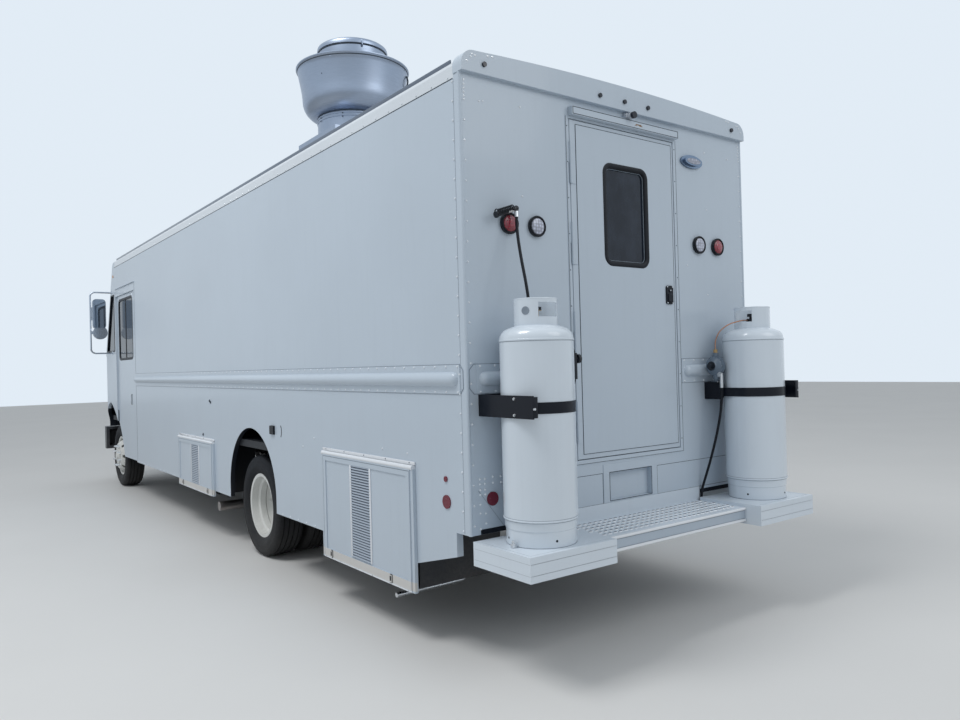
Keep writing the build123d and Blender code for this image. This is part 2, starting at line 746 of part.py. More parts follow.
# Roof: a crowned panel between two side rails, with a cap along the rear edge
roof_thick = 30
crown_radius = (roof_edge_x**2 + roof_crown**2) / (2 * roof_crown)


def crown_z(x):
    """Height of the roof's top face."""
    return crown_top - crown_radius + sqrt(crown_radius**2 - x**2)


with BuildPart() as roof_panel:
    with BuildSketch(Plane.XZ.offset(-ahead(corner_post))) as section:
        with BuildLine():
            ThreePointArc((-roof_edge_x, roof_edge_z), (0, crown_top), (roof_edge_x, roof_edge_z))
            Line((roof_edge_x, roof_edge_z), (roof_edge_x, roof_edge_z - roof_thick))
            ThreePointArc((roof_edge_x, roof_edge_z - roof_thick), (0, crown_top - roof_thick),
                          (-roof_edge_x, roof_edge_z - roof_thick))
            Line((-roof_edge_x, roof_edge_z - roof_thick), (-roof_edge_x, roof_edge_z))
        make_face()
    extrude(amount=cab_door_front - corner_post)
save(roof_panel, "roof_panel")
rail_outline = (
    (inner_half, wall_top), (half_width, wall_top), *eaves, (roof_edge_x, roof_edge_z - roof_thick),
    (inner_half, wall_top + 69),
)
with BuildPart() as roof_rails:
    for side in (1, -1):
        cross_slab([(side * x, z) for x, z in rail_outline], (ahead(cab_door_front), ahead(corner_post)))
save(roof_rails, "roof_rails")
cap_proud = 30
cap_round = 78
cap_half = half_width + 4
cap_edge_z = roof_edge_z + 10
cap_crown_z = crown_top + 6
with BuildPart() as rear_roof_cap:
    with BuildSketch(Plane.XZ.offset(-(rear_y + cap_proud))) as section:
        with BuildLine():
            Polyline((-roof_edge_x, cap_edge_z), (-cap_half, cap_edge_z), (-cap_half, rear_cap_foot),
                     (cap_half, rear_cap_foot), (cap_half, cap_edge_z), (roof_edge_x, cap_edge_z))
            ThreePointArc((roof_edge_x, cap_edge_z), (0, cap_crown_z), (-roof_edge_x, cap_edge_z))
        make_face()
        corners = section.vertices().filter_by(lambda v: abs(v.X) > half_width and v.Y > rear_cap_foot + 1)
        fillet(corners, cap_round)
    extrude(section.sketch, amount=cap_proud + corner_post)
save(rear_roof_cap, "rear_roof_cap")

# Cab front: the sloped screen frame over the upright cowl, both rounded at the corners
slope_foot = Vector(0, ahead(cowl_ahead), screen_foot)
slope_head = Vector(0, ahead(screen_head_ahead), screen_head)
slope = slope_head - slope_foot
screen_plane = Plane(origin=(slope_foot + slope_head) * 0.5, x_dir=(1, 0, 0),
                     z_dir=Vector(1, 0, 0).cross(slope))
screen_half_gap = 40
screen_width = 940
screen_height = 880
screen_round = 60
glass_thick = 6
glass_inset = 14
quarter_head = cab_door_head + 32
quarter_window = ((8335, 1870), (8850, 1870), (8520, quarter_head), (8335, quarter_head))
front_view = (
    (-half_width, screen_foot), (half_width, screen_foot), *eaves,
    *[(-x, z) for x, z in reversed(eaves)],
)
screen_corner = 100
screen_corner_from = 8500
with BuildPart() as cab_front:
    side_slab(((ahead(cab_door_front), screen_foot), (slope_foot.Y, slope_foot.Z),
               (slope_head.Y, slope_head.Z), (ahead(roof_front_ahead), crown_top),
               (ahead(cab_door_front), crown_top)), (-half_width, half_width))
    with BuildSketch(Plane.XZ.offset(-ahead(cab_door_front))) as outline:
        with BuildLine():
            Polyline(*front_view[5::-1])
            Polyline(front_view[0], *front_view[:5:-1])
            ThreePointArc(front_view[6], (0, crown_top), front_view[5])
        make_face()
    extrude(outline.sketch, amount=cowl_ahead - cab_door_front, mode=Mode.INTERSECT)
    corner_edges = cab_front.edges().filter_by(
        lambda e: abs(abs(e.center().X) - half_width) < 1 and e.center().Y < ahead(screen_corner_from)
        and abs(e.tangent_at(0.5).Y) > 0.2 and e.center().Z > screen_foot + 10)
    fillet(corner_edges, screen_corner)
    rear_face = cab_front.faces().sort_by(Axis.Y)[-1]
    foot_face = cab_front.faces().sort_by(Axis.Z)[0]
    offset(amount=-wall, openings=[rear_face, foot_face])
    with BuildSketch(screen_plane) as panes:
        with Locations((-(screen_width + screen_half_gap) / 2, 0), ((screen_width + screen_half_gap) / 2, 0)):
            RectangleRounded(screen_width, screen_height, screen_round)
    extrude(panes.sketch, amount=80, both=True, mode=Mode.SUBTRACT)
    for side in (1, -1):
        side_slab([(ahead(place), z) for place, z in quarter_window],
                  (side * (inner_half - 5), side * (half_width + 5)), mode=Mode.SUBTRACT)
save(cab_front, "cab_front")
serving_pane_x = (14, 20)
with BuildPart() as body_glass:
    with BuildSketch(screen_plane.offset(-glass_inset - glass_thick)) as panes:
        with Locations((-(screen_width + screen_half_gap) / 2, 0), ((screen_width + screen_half_gap) / 2, 0)):
            RectangleRounded(screen_width, screen_height, screen_round)
    extrude(panes.sketch, amount=glass_thick)
    for side in (1, -1):
        outer = half_width - glass_inset
        side_slab([(ahead(place), z) for place, z in quarter_window],
                  (side * (outer - glass_thick), side * outer))
    middle = (serving_front + serving_rear) / 2
    spans = ((middle - mullion / 2, serving_front - serving_frame),
             (serving_rear + serving_frame, middle + mullion / 2))
    for inset, (rear, front) in zip(serving_pane_x, spans):
        block((-inner_half + inset - glass_thick, -inner_half + inset - 1), (ahead(front), ahead(rear)),
              (serving_foot + serving_frame, serving_head - serving_frame))
save(body_glass, "body_glass")


def front_arch(x_span, mode=Mode.SUBTRACT):
    """The room of a front wheel arch, through one side of the cab."""
    low, high = sorted(x_span)
    with BuildSketch(Plane.YZ.offset(low)) as room:
        rear_foot, rear_curve, crown_point, front_curve, front_foot = [
            (ahead(place), z)
            for place, z in (arch_rear_foot, arch_rear_curve, arch_crown, arch_front_curve, arch_front_foot)
        ]
        with BuildLine():
            ThreePointArc(rear_foot, rear_curve, crown_point)
            ThreePointArc(crown_point, front_curve, front_foot)
            Polyline(front_foot, (front_foot[0], arch_below), (rear_foot[0], arch_below), rear_foot)
        make_face()
    extrude(room.sketch, amount=high - low, mode=mode)


with BuildPart() as front_cowl:
    block((-half_width, half_width), (ahead(cowl_ahead), ahead(cab_door_front)), (cowl_foot, screen_foot))
    fillet(front_cowl.edges().filter_by(Axis.Z).group_by(Axis.Y)[0], cab_corner)
    openings = front_cowl.faces().filter_by(Axis.Z) + front_cowl.faces().sort_by(Axis.Y)[-1:]
    offset(amount=-wall, openings=openings)
    for side in (1, -1):
        front_arch((side * (inner_half - 100), side * (half_width + 1)))
save(front_cowl, "front_cowl")

# Nose: a tapered hood panel on the cowl, with a slatted grille and two lamp recesses
nose_half = 880
nose_foot = 830
nose_head = 1540
nose_ahead = 9240
grille_half = 500
grille_foot = 900
grille_head = 1240
grille_depth = 60
slats = 7
slat_thick = 14
lamp_x = 690
lamp_z = 1060
lamp_radius = 92
lamp_recess = 50
with BuildPart() as nose_grille:
    with BuildSketch(Plane.XZ.offset(-ahead(cowl_ahead))) as base:
        with Locations((0, (nose_foot + nose_head) / 2)):
            RectangleRounded(2 * nose_half, nose_head - nose_foot, 60)
    with BuildSketch(Plane.XZ.offset(-ahead(nose_ahead))) as face:
        with Locations((0, (nose_foot + 10 + nose_head - 170) / 2)):
            RectangleRounded(2 * (nose_half - 50), nose_head - nose_foot - 180, 60)
    loft([base.sketch, face.sketch])
    block((-grille_half, grille_half), (ahead(nose_ahead + 5), ahead(nose_ahead - grille_depth)),
          (grille_foot, grille_head), mode=Mode.SUBTRACT)
    pitch = (grille_head - grille_foot) / slats
    for number in range(slats - 1):
        middle = grille_foot + (number + 1) * pitch
        block((-grille_half, grille_half), (ahead(nose_ahead - 6), ahead(nose_ahead - grille_depth)),
              (middle - slat_thick / 2, middle + slat_thick / 2))
    for side in (1, -1):
        bar((side * lamp_x, ahead(nose_ahead + 5), lamp_z),
            (side * lamp_x, ahead(nose_ahead - lamp_recess), lamp_z), lamp_radius, mode=Mode.SUBTRACT)
save(nose_grille, "nose_grille")
# Front bumper: a channel that wraps the corners, on two brackets from the rails
bumper_half = half_width - 4
bumper_nose = 130
bumper_flat = 190
bumper_round = 90
bumper_foot = 470
bumper_head = 790
bumper_back = 9070
bumper_wall = 40
with BuildPart() as front_bumper:
    with BuildSketch(Plane.XY.offset(bumper_foot)) as plan:
        with BuildLine():
            Polyline((-bumper_half, ahead(bumper_back)), (-bumper_half, ahead(bumper_ahead - bumper_nose)),
                     (bumper_flat - bumper_half, ahead(bumper_ahead)),
                     (bumper_half - bumper_flat, ahead(bumper_ahead)),
                     (bumper_half, ahead(bumper_ahead - bumper_nose)), (bumper_half, ahead(bumper_back)),
                     close=True)
        make_face()
        fillet(plan.vertices().group_by(Axis.Y)[0] + plan.vertices().group_by(Axis.Y)[1], bumper_round)
    extrude(plan.sketch, amount=bumper_head - bumper_foot)
    offset(amount=-bumper_wall, openings=front_bumper.faces().sort_by(Axis.Y)[-1])
    for side in (1, -1):
        block((side * (rail_half - rail_plate - 60), side * (rail_half - rail_plate)),
              (ahead(rail_front_ahead - 100), ahead(bumper_ahead - bumper_wall)),
              (rail_foot + 10, bumper_head - bumper_wall))
save(front_bumper, "front_bumper")

# Cab doors: sliding doors cut round the wheel arch, hung on two hooks from a track
door_x = half_width - cab_door_recess
door_lap = 30
window_rear = 7345
window_front = 8130
window_foot = 1755
window_head = cab_door_head - 68
hanger_ahead = (7350, 8050)
hanger_half = 40
hanger_drop = 50
hook_thick = 8
hook_sheet = 6
hook_clear = 4
handle_ahead = 7460
handle_half = 30
handle_z = (1160, 1280)
handle_deep = 14
handle_bar = 5


def window_sketch(x):
    """The cab door window's outline on a plane of that x."""
    with BuildSketch(Plane.YZ.offset(x)) as pane:
        with Locations((ahead((window_rear + window_front) / 2), (window_foot + window_head) / 2)):
            RectangleRounded(window_front - window_rear, window_head - window_foot, 55)
    return pane.sketch


with BuildPart() as left_cab_door:
    block((door_x - cab_door_thick, door_x), (ahead(cab_door_front - 5), ahead(cab_door_rear - door_lap)),
          (skirt_foot + 9, cab_door_head + 10))
    extrude(window_sketch(door_x - cab_door_thick - 1), amount=cab_door_thick + 2, mode=Mode.SUBTRACT)
    front_arch((door_x - cab_door_thick - 1, door_x + 1))
    hook_x = inner_half - track_depth - hook_clear
    hook_foot = track_z + track_high / 2 + fit_gap
    hanger_foot = cab_door_head - hanger_drop
    for place in hanger_ahead:
        y_span = (ahead(place + hanger_half), ahead(place - hanger_half))
        block((hook_x - hook_sheet, door_x - cab_door_thick), y_span, (hanger_foot, cab_door_head))
        block((hook_x - hook_sheet, hook_x), y_span, (hanger_foot, hook_foot + hook_thick))
        block((hook_x, inner_half - hook_clear), y_span, (hook_foot, hook_foot + hook_thick))
    recess = (ahead(handle_ahead + handle_half), ahead(handle_ahead - handle_half))
    block((door_x - handle_deep, door_x + 1), recess, handle_z, mode=Mode.SUBTRACT)
    grip = (door_x - handle_bar, ahead(handle_ahead))
    bar((*grip, handle_z[0]), (*grip, handle_z[1]), handle_bar)
save(left_cab_door, "left_cab_door")
with BuildPart() as right_cab_door:
    mirror(left_cab_door.part, about=Plane.YZ)
save(right_cab_door, "right_cab_door")
with BuildPart() as left_cab_door_glass:
    extrude(window_sketch(door_x - glass_inset), amount=glass_thick)
save(left_cab_door_glass, "left_cab_door_glass")
with BuildPart() as right_cab_door_glass:
    mirror(left_cab_door_glass.part, about=Plane.YZ)
save(right_cab_door_glass, "right_cab_door_glass")

# Rear door: a flat door hung on its left edge, with a framed window
pane_left = 152
pane_right = -197
pane_high = 569
pane_head = rear_door_head - 229
pane_foot = pane_head - pane_high
door_face = rear_y + 0.2
skin_left = 382
skin_right = -443
skin_foot = 1024
skin_inset_top = 27
skin_thick = 2
paddle_middle = (-392, 1953)
paddle_size = (60, 112)
paddle_round = 14
paddle_proud = 9
with BuildPart() as rear_door:
    block((rear_door_right + door_gap, rear_door_left - door_gap), (rear_y - wall, door_face),
          (rear_door_foot + door_gap, rear_door_head - door_gap))
    block((skin_right, skin_left), (door_face, door_face + skin_thick),
          (skin_foot, rear_door_head - skin_inset_top))
    with BuildSketch(Plane.XZ.offset(-(door_face + paddle_proud))) as paddle:
        with Locations(paddle_middle):
            RectangleRounded(*paddle_size, paddle_round)
    extrude(paddle.sketch, amount=paddle_proud)
    with BuildSketch(Plane.XZ.offset(-(rear_y + 5))) as pane:
        with Locations(((pane_left + pane_right) / 2, (pane_foot + pane_head) / 2)):
            RectangleRounded(pane_left - pane_right, pane_high, 45)
    extrude(pane.sketch, amount=wall + 10, mode=Mode.SUBTRACT)
    for foot in door_hinge_feet:
        middle = foot + door_hinge_length / 2 - fit_gap / 2
        bar((*door_hinge, foot), (*door_hinge, middle), hinge_radius)
        block((door_hinge[0] - 40, door_hinge[0]), (rear_y + 0.2, rear_y + 4), (foot, middle))
save(rear_door, "rear_door")
with BuildPart() as rear_door_glass:
    with BuildSketch(Plane.XZ.offset(-(rear_y - glass_inset))) as pane:
        with Locations(((pane_left + pane_right) / 2, (pane_foot + pane_head) / 2)):
            RectangleRounded(pane_left - pane_right, pane_high, 45)
    extrude(pane.sketch, amount=glass_thick)
save(rear_door_glass, "rear_door_glass")

# Serving side: a fixed frame with a counter and two panes, and a top-hinged hatch over it
frame_lap = 20
counter_reach = 320
counter_thick = 40
hatch_thick = 32
serving_run = (ahead(serving_front), ahead(serving_rear))
with BuildPart() as serving_window:
    back = -inner_half + serving_frame
    block((back, -inner_half), (serving_run[0] - frame_lap, serving_run[1] + frame_lap),
          (serving_foot - frame_lap, serving_head + frame_lap))
    block((back + 1, -inner_half - 1), (serving_run[0] + serving_frame, serving_run[1] - serving_frame),
          (serving_foot + serving_frame, serving_head - serving_frame), mode=Mode.SUBTRACT)
    block((back, back + counter_reach), (serving_run[0] - frame_lap, serving_run[1] + frame_lap),
          (serving_foot - counter_thick / 2, serving_foot + counter_thick / 2))
    middle = (serving_run[0] + serving_run[1]) / 2
    block((back - 8, back), (middle - mullion / 2, middle + mullion / 2),
          (serving_foot + serving_frame, serving_head - serving_frame))
save(serving_window, "serving_window")
with BuildPart() as serving_hatch:
    block((-half_width, -half_width + hatch_thick), (serving_run[0] + door_gap, serving_run[1] - door_gap),
          (serving_foot + door_gap, serving_head - door_gap))
    knuckles(hatch_axis, hatch_run, (0, 2, 4, 6), 7, hinge_barrel,
             (-half_width - fit_gap - hatch_leaf, -half_width - fit_gap),
             (serving_head - 40, hatch_axis[1]))
    block((-half_width - fit_gap, -half_width), (hatch_run[0] + 1, hatch_run[1] - 1),
          (serving_head - 40, serving_head - door_gap))
save(serving_hatch, "serving_hatch")

# Belt rails: half-round rub rails with rounded ends on a thin flange
belt_z = 1475
belt_radius = 40
belt_flange = 75
belt_flange_thick = 3
belt_squash = 8
belt_end = 55
belt_front_gap = 12
belt_rear_gap = 8
rear_belt_inner = 498
rear_belt_outer = half_width - 59
with BuildPart() as belt_rails:
    for side in (1, -1):
        runs = (
            ((side * (half_width - belt_squash), ahead(cab_door_rear - belt_front_gap - belt_end), belt_z),
             (side * (half_width - belt_squash), ahead(corner_post + belt_rear_gap + belt_end), belt_z)),
            ((side * (rear_belt_inner + belt_end), rear_y - belt_squash, belt_z),
             (side * (rear_belt_outer - belt_end), rear_y - belt_squash, belt_z)),
        )
        for start, end in runs:
            bar(start, end, belt_radius)
            with Locations(start, end):
                Sphere(belt_radius)
        block((0, side * half_width), (rear_y, ahead(cab_door_rear)),
              (belt_z - belt_flange, belt_z + belt_flange), mode=Mode.SUBTRACT)
        block((side * half_width, side * (half_width + belt_flange_thick)),
              (ahead(cab_door_rear - belt_front_gap), ahead(corner_post + belt_rear_gap)),
              (belt_z - belt_flange, belt_z + belt_flange))
        block((side * rear_belt_inner, side * rear_belt_outer), (rear_y, rear_y + belt_flange_thick),
              (belt_z - belt_flange, belt_z + belt_flange))
save(belt_rails, "belt_rails")

# Floor: a slab on the rails, open over the engine, with a step well inside each cab door
cab_floor_half = inner_half - 26
cab_floor_rear = 6200
nose_floor_half = half_width - cab_corner - 4
nose_floor_rear = 8880
engine_room_half = 370
engine_room_rear = 7960
well_inner = 760
well_front = 7890
well_sheet = 20
well_foot = skirt_foot + 9
well_tread = 700
well_tread_inset = 120
load_sheet = 3
load_sheet_front = 6900
load_sheet_rear = 60
load_sheet_edge = 4
floor_z = (rail_top, floor_top)
with BuildPart() as floor:
    post_inner = half_width - corner_post
    block((-post_inner, post_inner), (ahead(corner_post), ahead(wall)), floor_z)
    block((-inner_half, inner_half), (ahead(cab_floor_rear), ahead(corner_post)), floor_z)
    block((-cab_floor_half, cab_floor_half), (ahead(nose_floor_rear), ahead(cab_floor_rear)), floor_z)
    block((-nose_floor_half, nose_floor_half), (ahead(cowl_ahead - wall), ahead(nose_floor_rear)), floor_z)
    block((-engine_room_half, engine_room_half), (ahead(cowl_ahead), ahead(engine_room_rear)),
          (rail_top - 1, floor_top + 1), mode=Mode.SUBTRACT)
    for side in (1, -1):
        block((side * well_inner, side * cab_floor_half), (ahead(well_front), ahead(cab_door_rear)),
              (well_foot, floor_top))
        block((side * (well_inner + well_sheet), side * (cab_floor_half + 1)),
              (ahead(well_front - well_sheet), ahead(cab_door_rear + well_sheet)),
              (well_foot + well_sheet, floor_top + 1), mode=Mode.SUBTRACT)
        block((side * well_inner, side * (cab_floor_half - well_tread_inset)),
              (ahead(well_front), ahead(cab_door_rear)), (well_tread, well_tread + well_sheet))
    load_half = cab_floor_half - load_sheet_edge
    block((-load_half, load_half), (ahead(load_sheet_front), ahead(load_sheet_rear)),
          (floor_top, floor_top + load_sheet))
save(floor, "floor")

# Dashboard with the engine cover between the seats
cover_half = 400
cover_rear = 7900
cover_top = 1280
cover_sheet = 30
dash_half = nose_floor_half
dash_rear = 8640
dash_foot = 1180
dash_top = 1560
with BuildPart() as dashboard:
    shelf = (
        (ahead(cowl_ahead - wall), dash_foot), (ahead(cowl_ahead - wall), dash_top + 80),
        (ahead(dash_rear + 120), dash_top), (ahead(dash_rear), dash_top - 120), (ahead(dash_rear), dash_foot),
    )
    side_slab(shelf, (-dash_half, dash_half))
    block((-cover_half, cover_half), (ahead(cowl_ahead - wall), ahead(cover_rear)), (floor_top, cover_top))
    block((-engine_room_half, engine_room_half), (ahead(cowl_ahead), ahead(cover_rear + cover_sheet)),
          (floor_top - 1, cover_top - cover_sheet), mode=Mode.SUBTRACT)
save(dashboard, "dashboard")

# Driver's seat: a cushion and a raked back on a pedestal
driver_x = 590
seat_ahead = 7560
seat_half = 250
pedestal_top = floor_top + 330
cushion_top = floor_top + 450
back_top = floor_top + 1080
seat_round = 35
with BuildPart() as driver_seat:
    block((driver_x - 140, driver_x + 140), (ahead(seat_ahead + 170), ahead(seat_ahead - 170)),
          (floor_top, pedestal_top))
    outlines = (
        ((seat_ahead + 250, pedestal_top), (seat_ahead + 250, cushion_top), (seat_ahead - 230, cushion_top),
         (seat_ahead - 230, pedestal_top)),
        ((seat_ahead - 110, cushion_top - 60), (seat_ahead - 230, cushion_top - 60),
         (seat_ahead - 330, back_top), (seat_ahead - 230, back_top)),
    )
    for outline in outlines:
        with BuildSketch(Plane.YZ.offset(driver_x - seat_half)) as cushion:
            with BuildLine():
                Polyline(*[(ahead(place), z) for place, z in outline], close=True)
            make_face()
            fillet(cushion.vertices(), seat_round)
        extrude(cushion.sketch, amount=2 * seat_half)
save(driver_seat, "driver_seat")

# Steering wheel: a ring with three spokes, on a column that ends at the dashboard
wheel_ahead = 8290
wheel_hub_z = 1500
column_lean = radians(55)
column_radius = 24
ring_radius = 215
ring_bar = 15
column_dir = Vector(0, -sin(column_lean), -cos(column_lean))
wheel_hub = Vector(driver_x, ahead(wheel_ahead), wheel_hub_z)
column_reach = dash_rear - wheel_ahead - fit_gap - column_radius * cos(column_lean)
with BuildPart() as steering_wheel:
    with Locations(Plane(origin=wheel_hub, x_dir=(1, 0, 0), z_dir=column_dir)):
        Torus(ring_radius, ring_bar)
        with PolarLocations(ring_radius / 2, 3, start_angle=90):
            Box(ring_radius, 34, 12)
        Cylinder(45, 40)
    bar(wheel_hub, wheel_hub + column_dir * (column_reach / sin(column_lean)), column_radius)
save(steering_wheel, "steering_wheel")

# Rear step: a channel between two box platforms, on arms from the frame rails
kick_right = 632
step_nose = 12
step_lip = 8
kick_top = 726
kick_thick = 4
step_arm_width = 80
step_arm_front = 400
platform_front = 20
beam_back = 120
beam_front = 200
with BuildPart() as rear_step:
    block((-platform_inner, platform_inner), (rear_y, rear_y + step_reach), (step_top - step_depth, step_top))
    nose = rear_step.edges().filter_by(Axis.X).group_by(Axis.Z)[-1].sort_by(Axis.Y)[-1]
    fillet(nose, step_nose)
    block((-platform_inner + sheet, platform_inner - sheet), (rear_y + sheet, rear_y + step_reach - sheet),
          (step_top - step_depth - 1, step_top - sheet), mode=Mode.SUBTRACT)
    lip = (rear_y + step_reach - step_lip, step_top - step_depth + step_lip)
    bar((-platform_inner, *lip), (platform_inner, *lip), step_lip + 2)
    block((-kick_right, platform_inner), (rear_y + fit_gap, rear_y + fit_gap + kick_thick),
          (step_top - sheet, kick_top))
    for side in (1, -1):
        block((side * platform_inner, side * half_width), (rear_y + platform_front, rear_y + platform_reach),
              (platform_top - platform_depth, platform_top))
        block((side * (platform_inner + sheet), side * (half_width - sheet)),
              (rear_y + platform_front + sheet, rear_y + platform_reach - sheet),
              (platform_top - platform_depth - 1, platform_top - sheet), mode=Mode.SUBTRACT)
        block((side * (platform_inner + sheet), side * (half_width - sheet)),
              (rear_y + beam_back, rear_y + beam_front), (platform_top - step_depth, platform_top - sheet))
        web = side * (rail_half - rail_plate)
        block((web - side * step_arm_width, web), (ahead(step_arm_front), rear_y + step_reach - sheet),
              (step_top - step_depth, step_top - sheet))
        block((web - side * step_arm_width, web), (ahead(step_arm_front), ahead(rail_rear_ahead)),
              (step_top - sheet, rail_foot))
    block((-platform_inner + sheet, platform_inner - sheet), (rear_y + beam_back, rear_y + beam_front),
          (step_top - step_depth, step_top - sheet))
save(rear_step, "rear_step")

# Gas cylinders: upright bottles with a foot ring, a domed head and a slotted collar
tank_shoulder = 1665
tank_dome = 85
tank_knuckle = 60
crown = tank_shoulder + tank_dome
knuckle_x = tank_radius - tank_knuckle
crown_curve = (knuckle_x**2 + tank_dome**2 - tank_knuckle**2) / (2 * (tank_dome - tank_knuckle))
knuckle_turn = degrees(atan2(crown_curve - tank_dome, knuckle_x))
tank_waist = 786
tank_foot = 705
foot_ring_radius = tank_radius - 10
foot_ring_top = 750
collar_radius = 109
collar_foot = 1715
collar_top = 1869
collar_slot_foot = 1775
collar_slot_top = 1845
collar_slot_width = 120
collar_thick = 4
foot_step = 17
foot_rise = 35
waist_in = 4
tank_spots = [(side * tank_half, rear_y + tank_reach) for side in (1, -1)]
with BuildPart() as gas_cylinders:
    for spot in tank_spots:
        with BuildSketch(Plane(origin=(*spot, 0), x_dir=(1, 0, 0), z_dir=(0, -1, 0))) as half:
            with BuildLine():
                Polyline((0, tank_foot), (tank_radius - 30, tank_foot + foot_step),
                         (tank_radius - 7, tank_foot + foot_rise), (tank_radius - waist_in, tank_waist - 8),
                         (tank_radius, tank_waist), (tank_radius, tank_shoulder))
                CenterArc((tank_radius - tank_knuckle, tank_shoulder), tank_knuckle, 0, knuckle_turn)
                CenterArc((0, crown - crown_curve), crown_curve, knuckle_turn, 90 - knuckle_turn)
                Line((0, crown), (0, tank_foot))
            make_face()
        revolve(half.sketch, axis=Axis((*spot, 0), (0, 0, 1)))
    for radius, foot, top in (
        (foot_ring_radius, platform_top, foot_ring_top),
        (collar_radius, collar_foot, collar_top),
    ):
        with BuildSketch(Plane.XY.offset(foot)) as ring:
            with Locations(*tank_spots):
                Circle(radius)
                Circle(radius - collar_thick, mode=Mode.SUBTRACT)
        extrude(ring.sketch, amount=top - foot)
    slot_half = collar_slot_width / 2
    for (x_spot, y_spot), (x_reach, y_reach) in zip(
        tank_spots, ((slot_half, tank_radius), (tank_radius, slot_half))
    ):
        block((x_spot - x_reach, x_spot + x_reach), (y_spot - y_reach, y_spot + y_reach),
              (collar_slot_foot, collar_slot_top), mode=Mode.SUBTRACT)
save(gas_cylinders, "gas_cylinders")

# Cylinder brackets: a wall plate with two arms, and a strap from arm to arm round each cylinder
bracket_foot = 1285
bracket_head = 1395
strap_foot = 1305
strap_head = 1360
strap_thick = 3
bracket_sheet = 8
outer_arm_reach = 425
inner_arm_reach = 120
with BuildPart() as tank_brackets:
    for side in (1, -1):
        x_mid = side * tank_half
        inside = tank_radius + fit_gap
        outside = inside + strap_thick + bracket_sheet - 1
        block((x_mid - outside, x_mid + outside), (rear_y, rear_y + bracket_sheet),
              (bracket_foot, bracket_head))
        for hand, reach in ((side, outer_arm_reach), (-side, inner_arm_reach)):
            block((x_mid + hand * (outside - bracket_sheet), x_mid + hand * outside),
                  (rear_y, rear_y + reach), (bracket_foot, bracket_head))
            block((x_mid + hand * inside, x_mid + hand * (inside + strap_thick)),
                  (rear_y + inner_arm_reach - 40, rear_y + tank_reach), (strap_foot, strap_head))
        with BuildSketch(Plane.XY.offset(strap_foot)) as band:
            with Locations((x_mid, rear_y + tank_reach)):
                Circle(inside + strap_thick)
                Circle(inside, mode=Mode.SUBTRACT)
            with Locations((x_mid, rear_y + tank_reach - tank_radius)):
                Rectangle(3 * tank_radius, 2 * tank_radius, mode=Mode.SUBTRACT)
        extrude(band.sketch, amount=strap_head - strap_foot)
save(tank_brackets, "tank_brackets")

# Gas fittings: the valve in each cylinder's head, the right regulator on the end of its cylinder's
# bracket, the left shut-off on its wall stem, the left hose's grip and the gas line up into the floor
valve_radius = 17
valve_body = 60
hand_wheel_radius = 30
hand_wheel_thick = 18
valve_nose_z = crown + 36
valve_nose = 10
nose_off_wall = 185
valve_nose_reach = tank_reach - nose_off_wall
ferrule = 11
hose_radius = 8
pigtail_radius = 3.5
regulator_inset = tank_radius + 20
regulator_z = 1500
regulator_reach = 100
regulator_body = (
    (-23, 0), (-23, 40), (-18, 58), (8, 58), (8, 63), (16, 63), (16, 58), (24, 54), (38, 34), (48, 30),
    (48, 15), (74, 15), (74, 0),
)
regulator_foot = (24, 30, 6)
port_radius = 19
port_half = 84
port_nut = 13
port_nut_long = 22
outlet_reach = 40
outlet_drop = 62
outlet_ferrule = (48, 140)
# x, foot, head and radius; height, radius and reach of the knob; height and radius of the stem
shut_off = (527, 1455, 1598, 12)
shut_off_knob = (1566, 25, 12, 30)
shut_off_stem = (1585, 7)
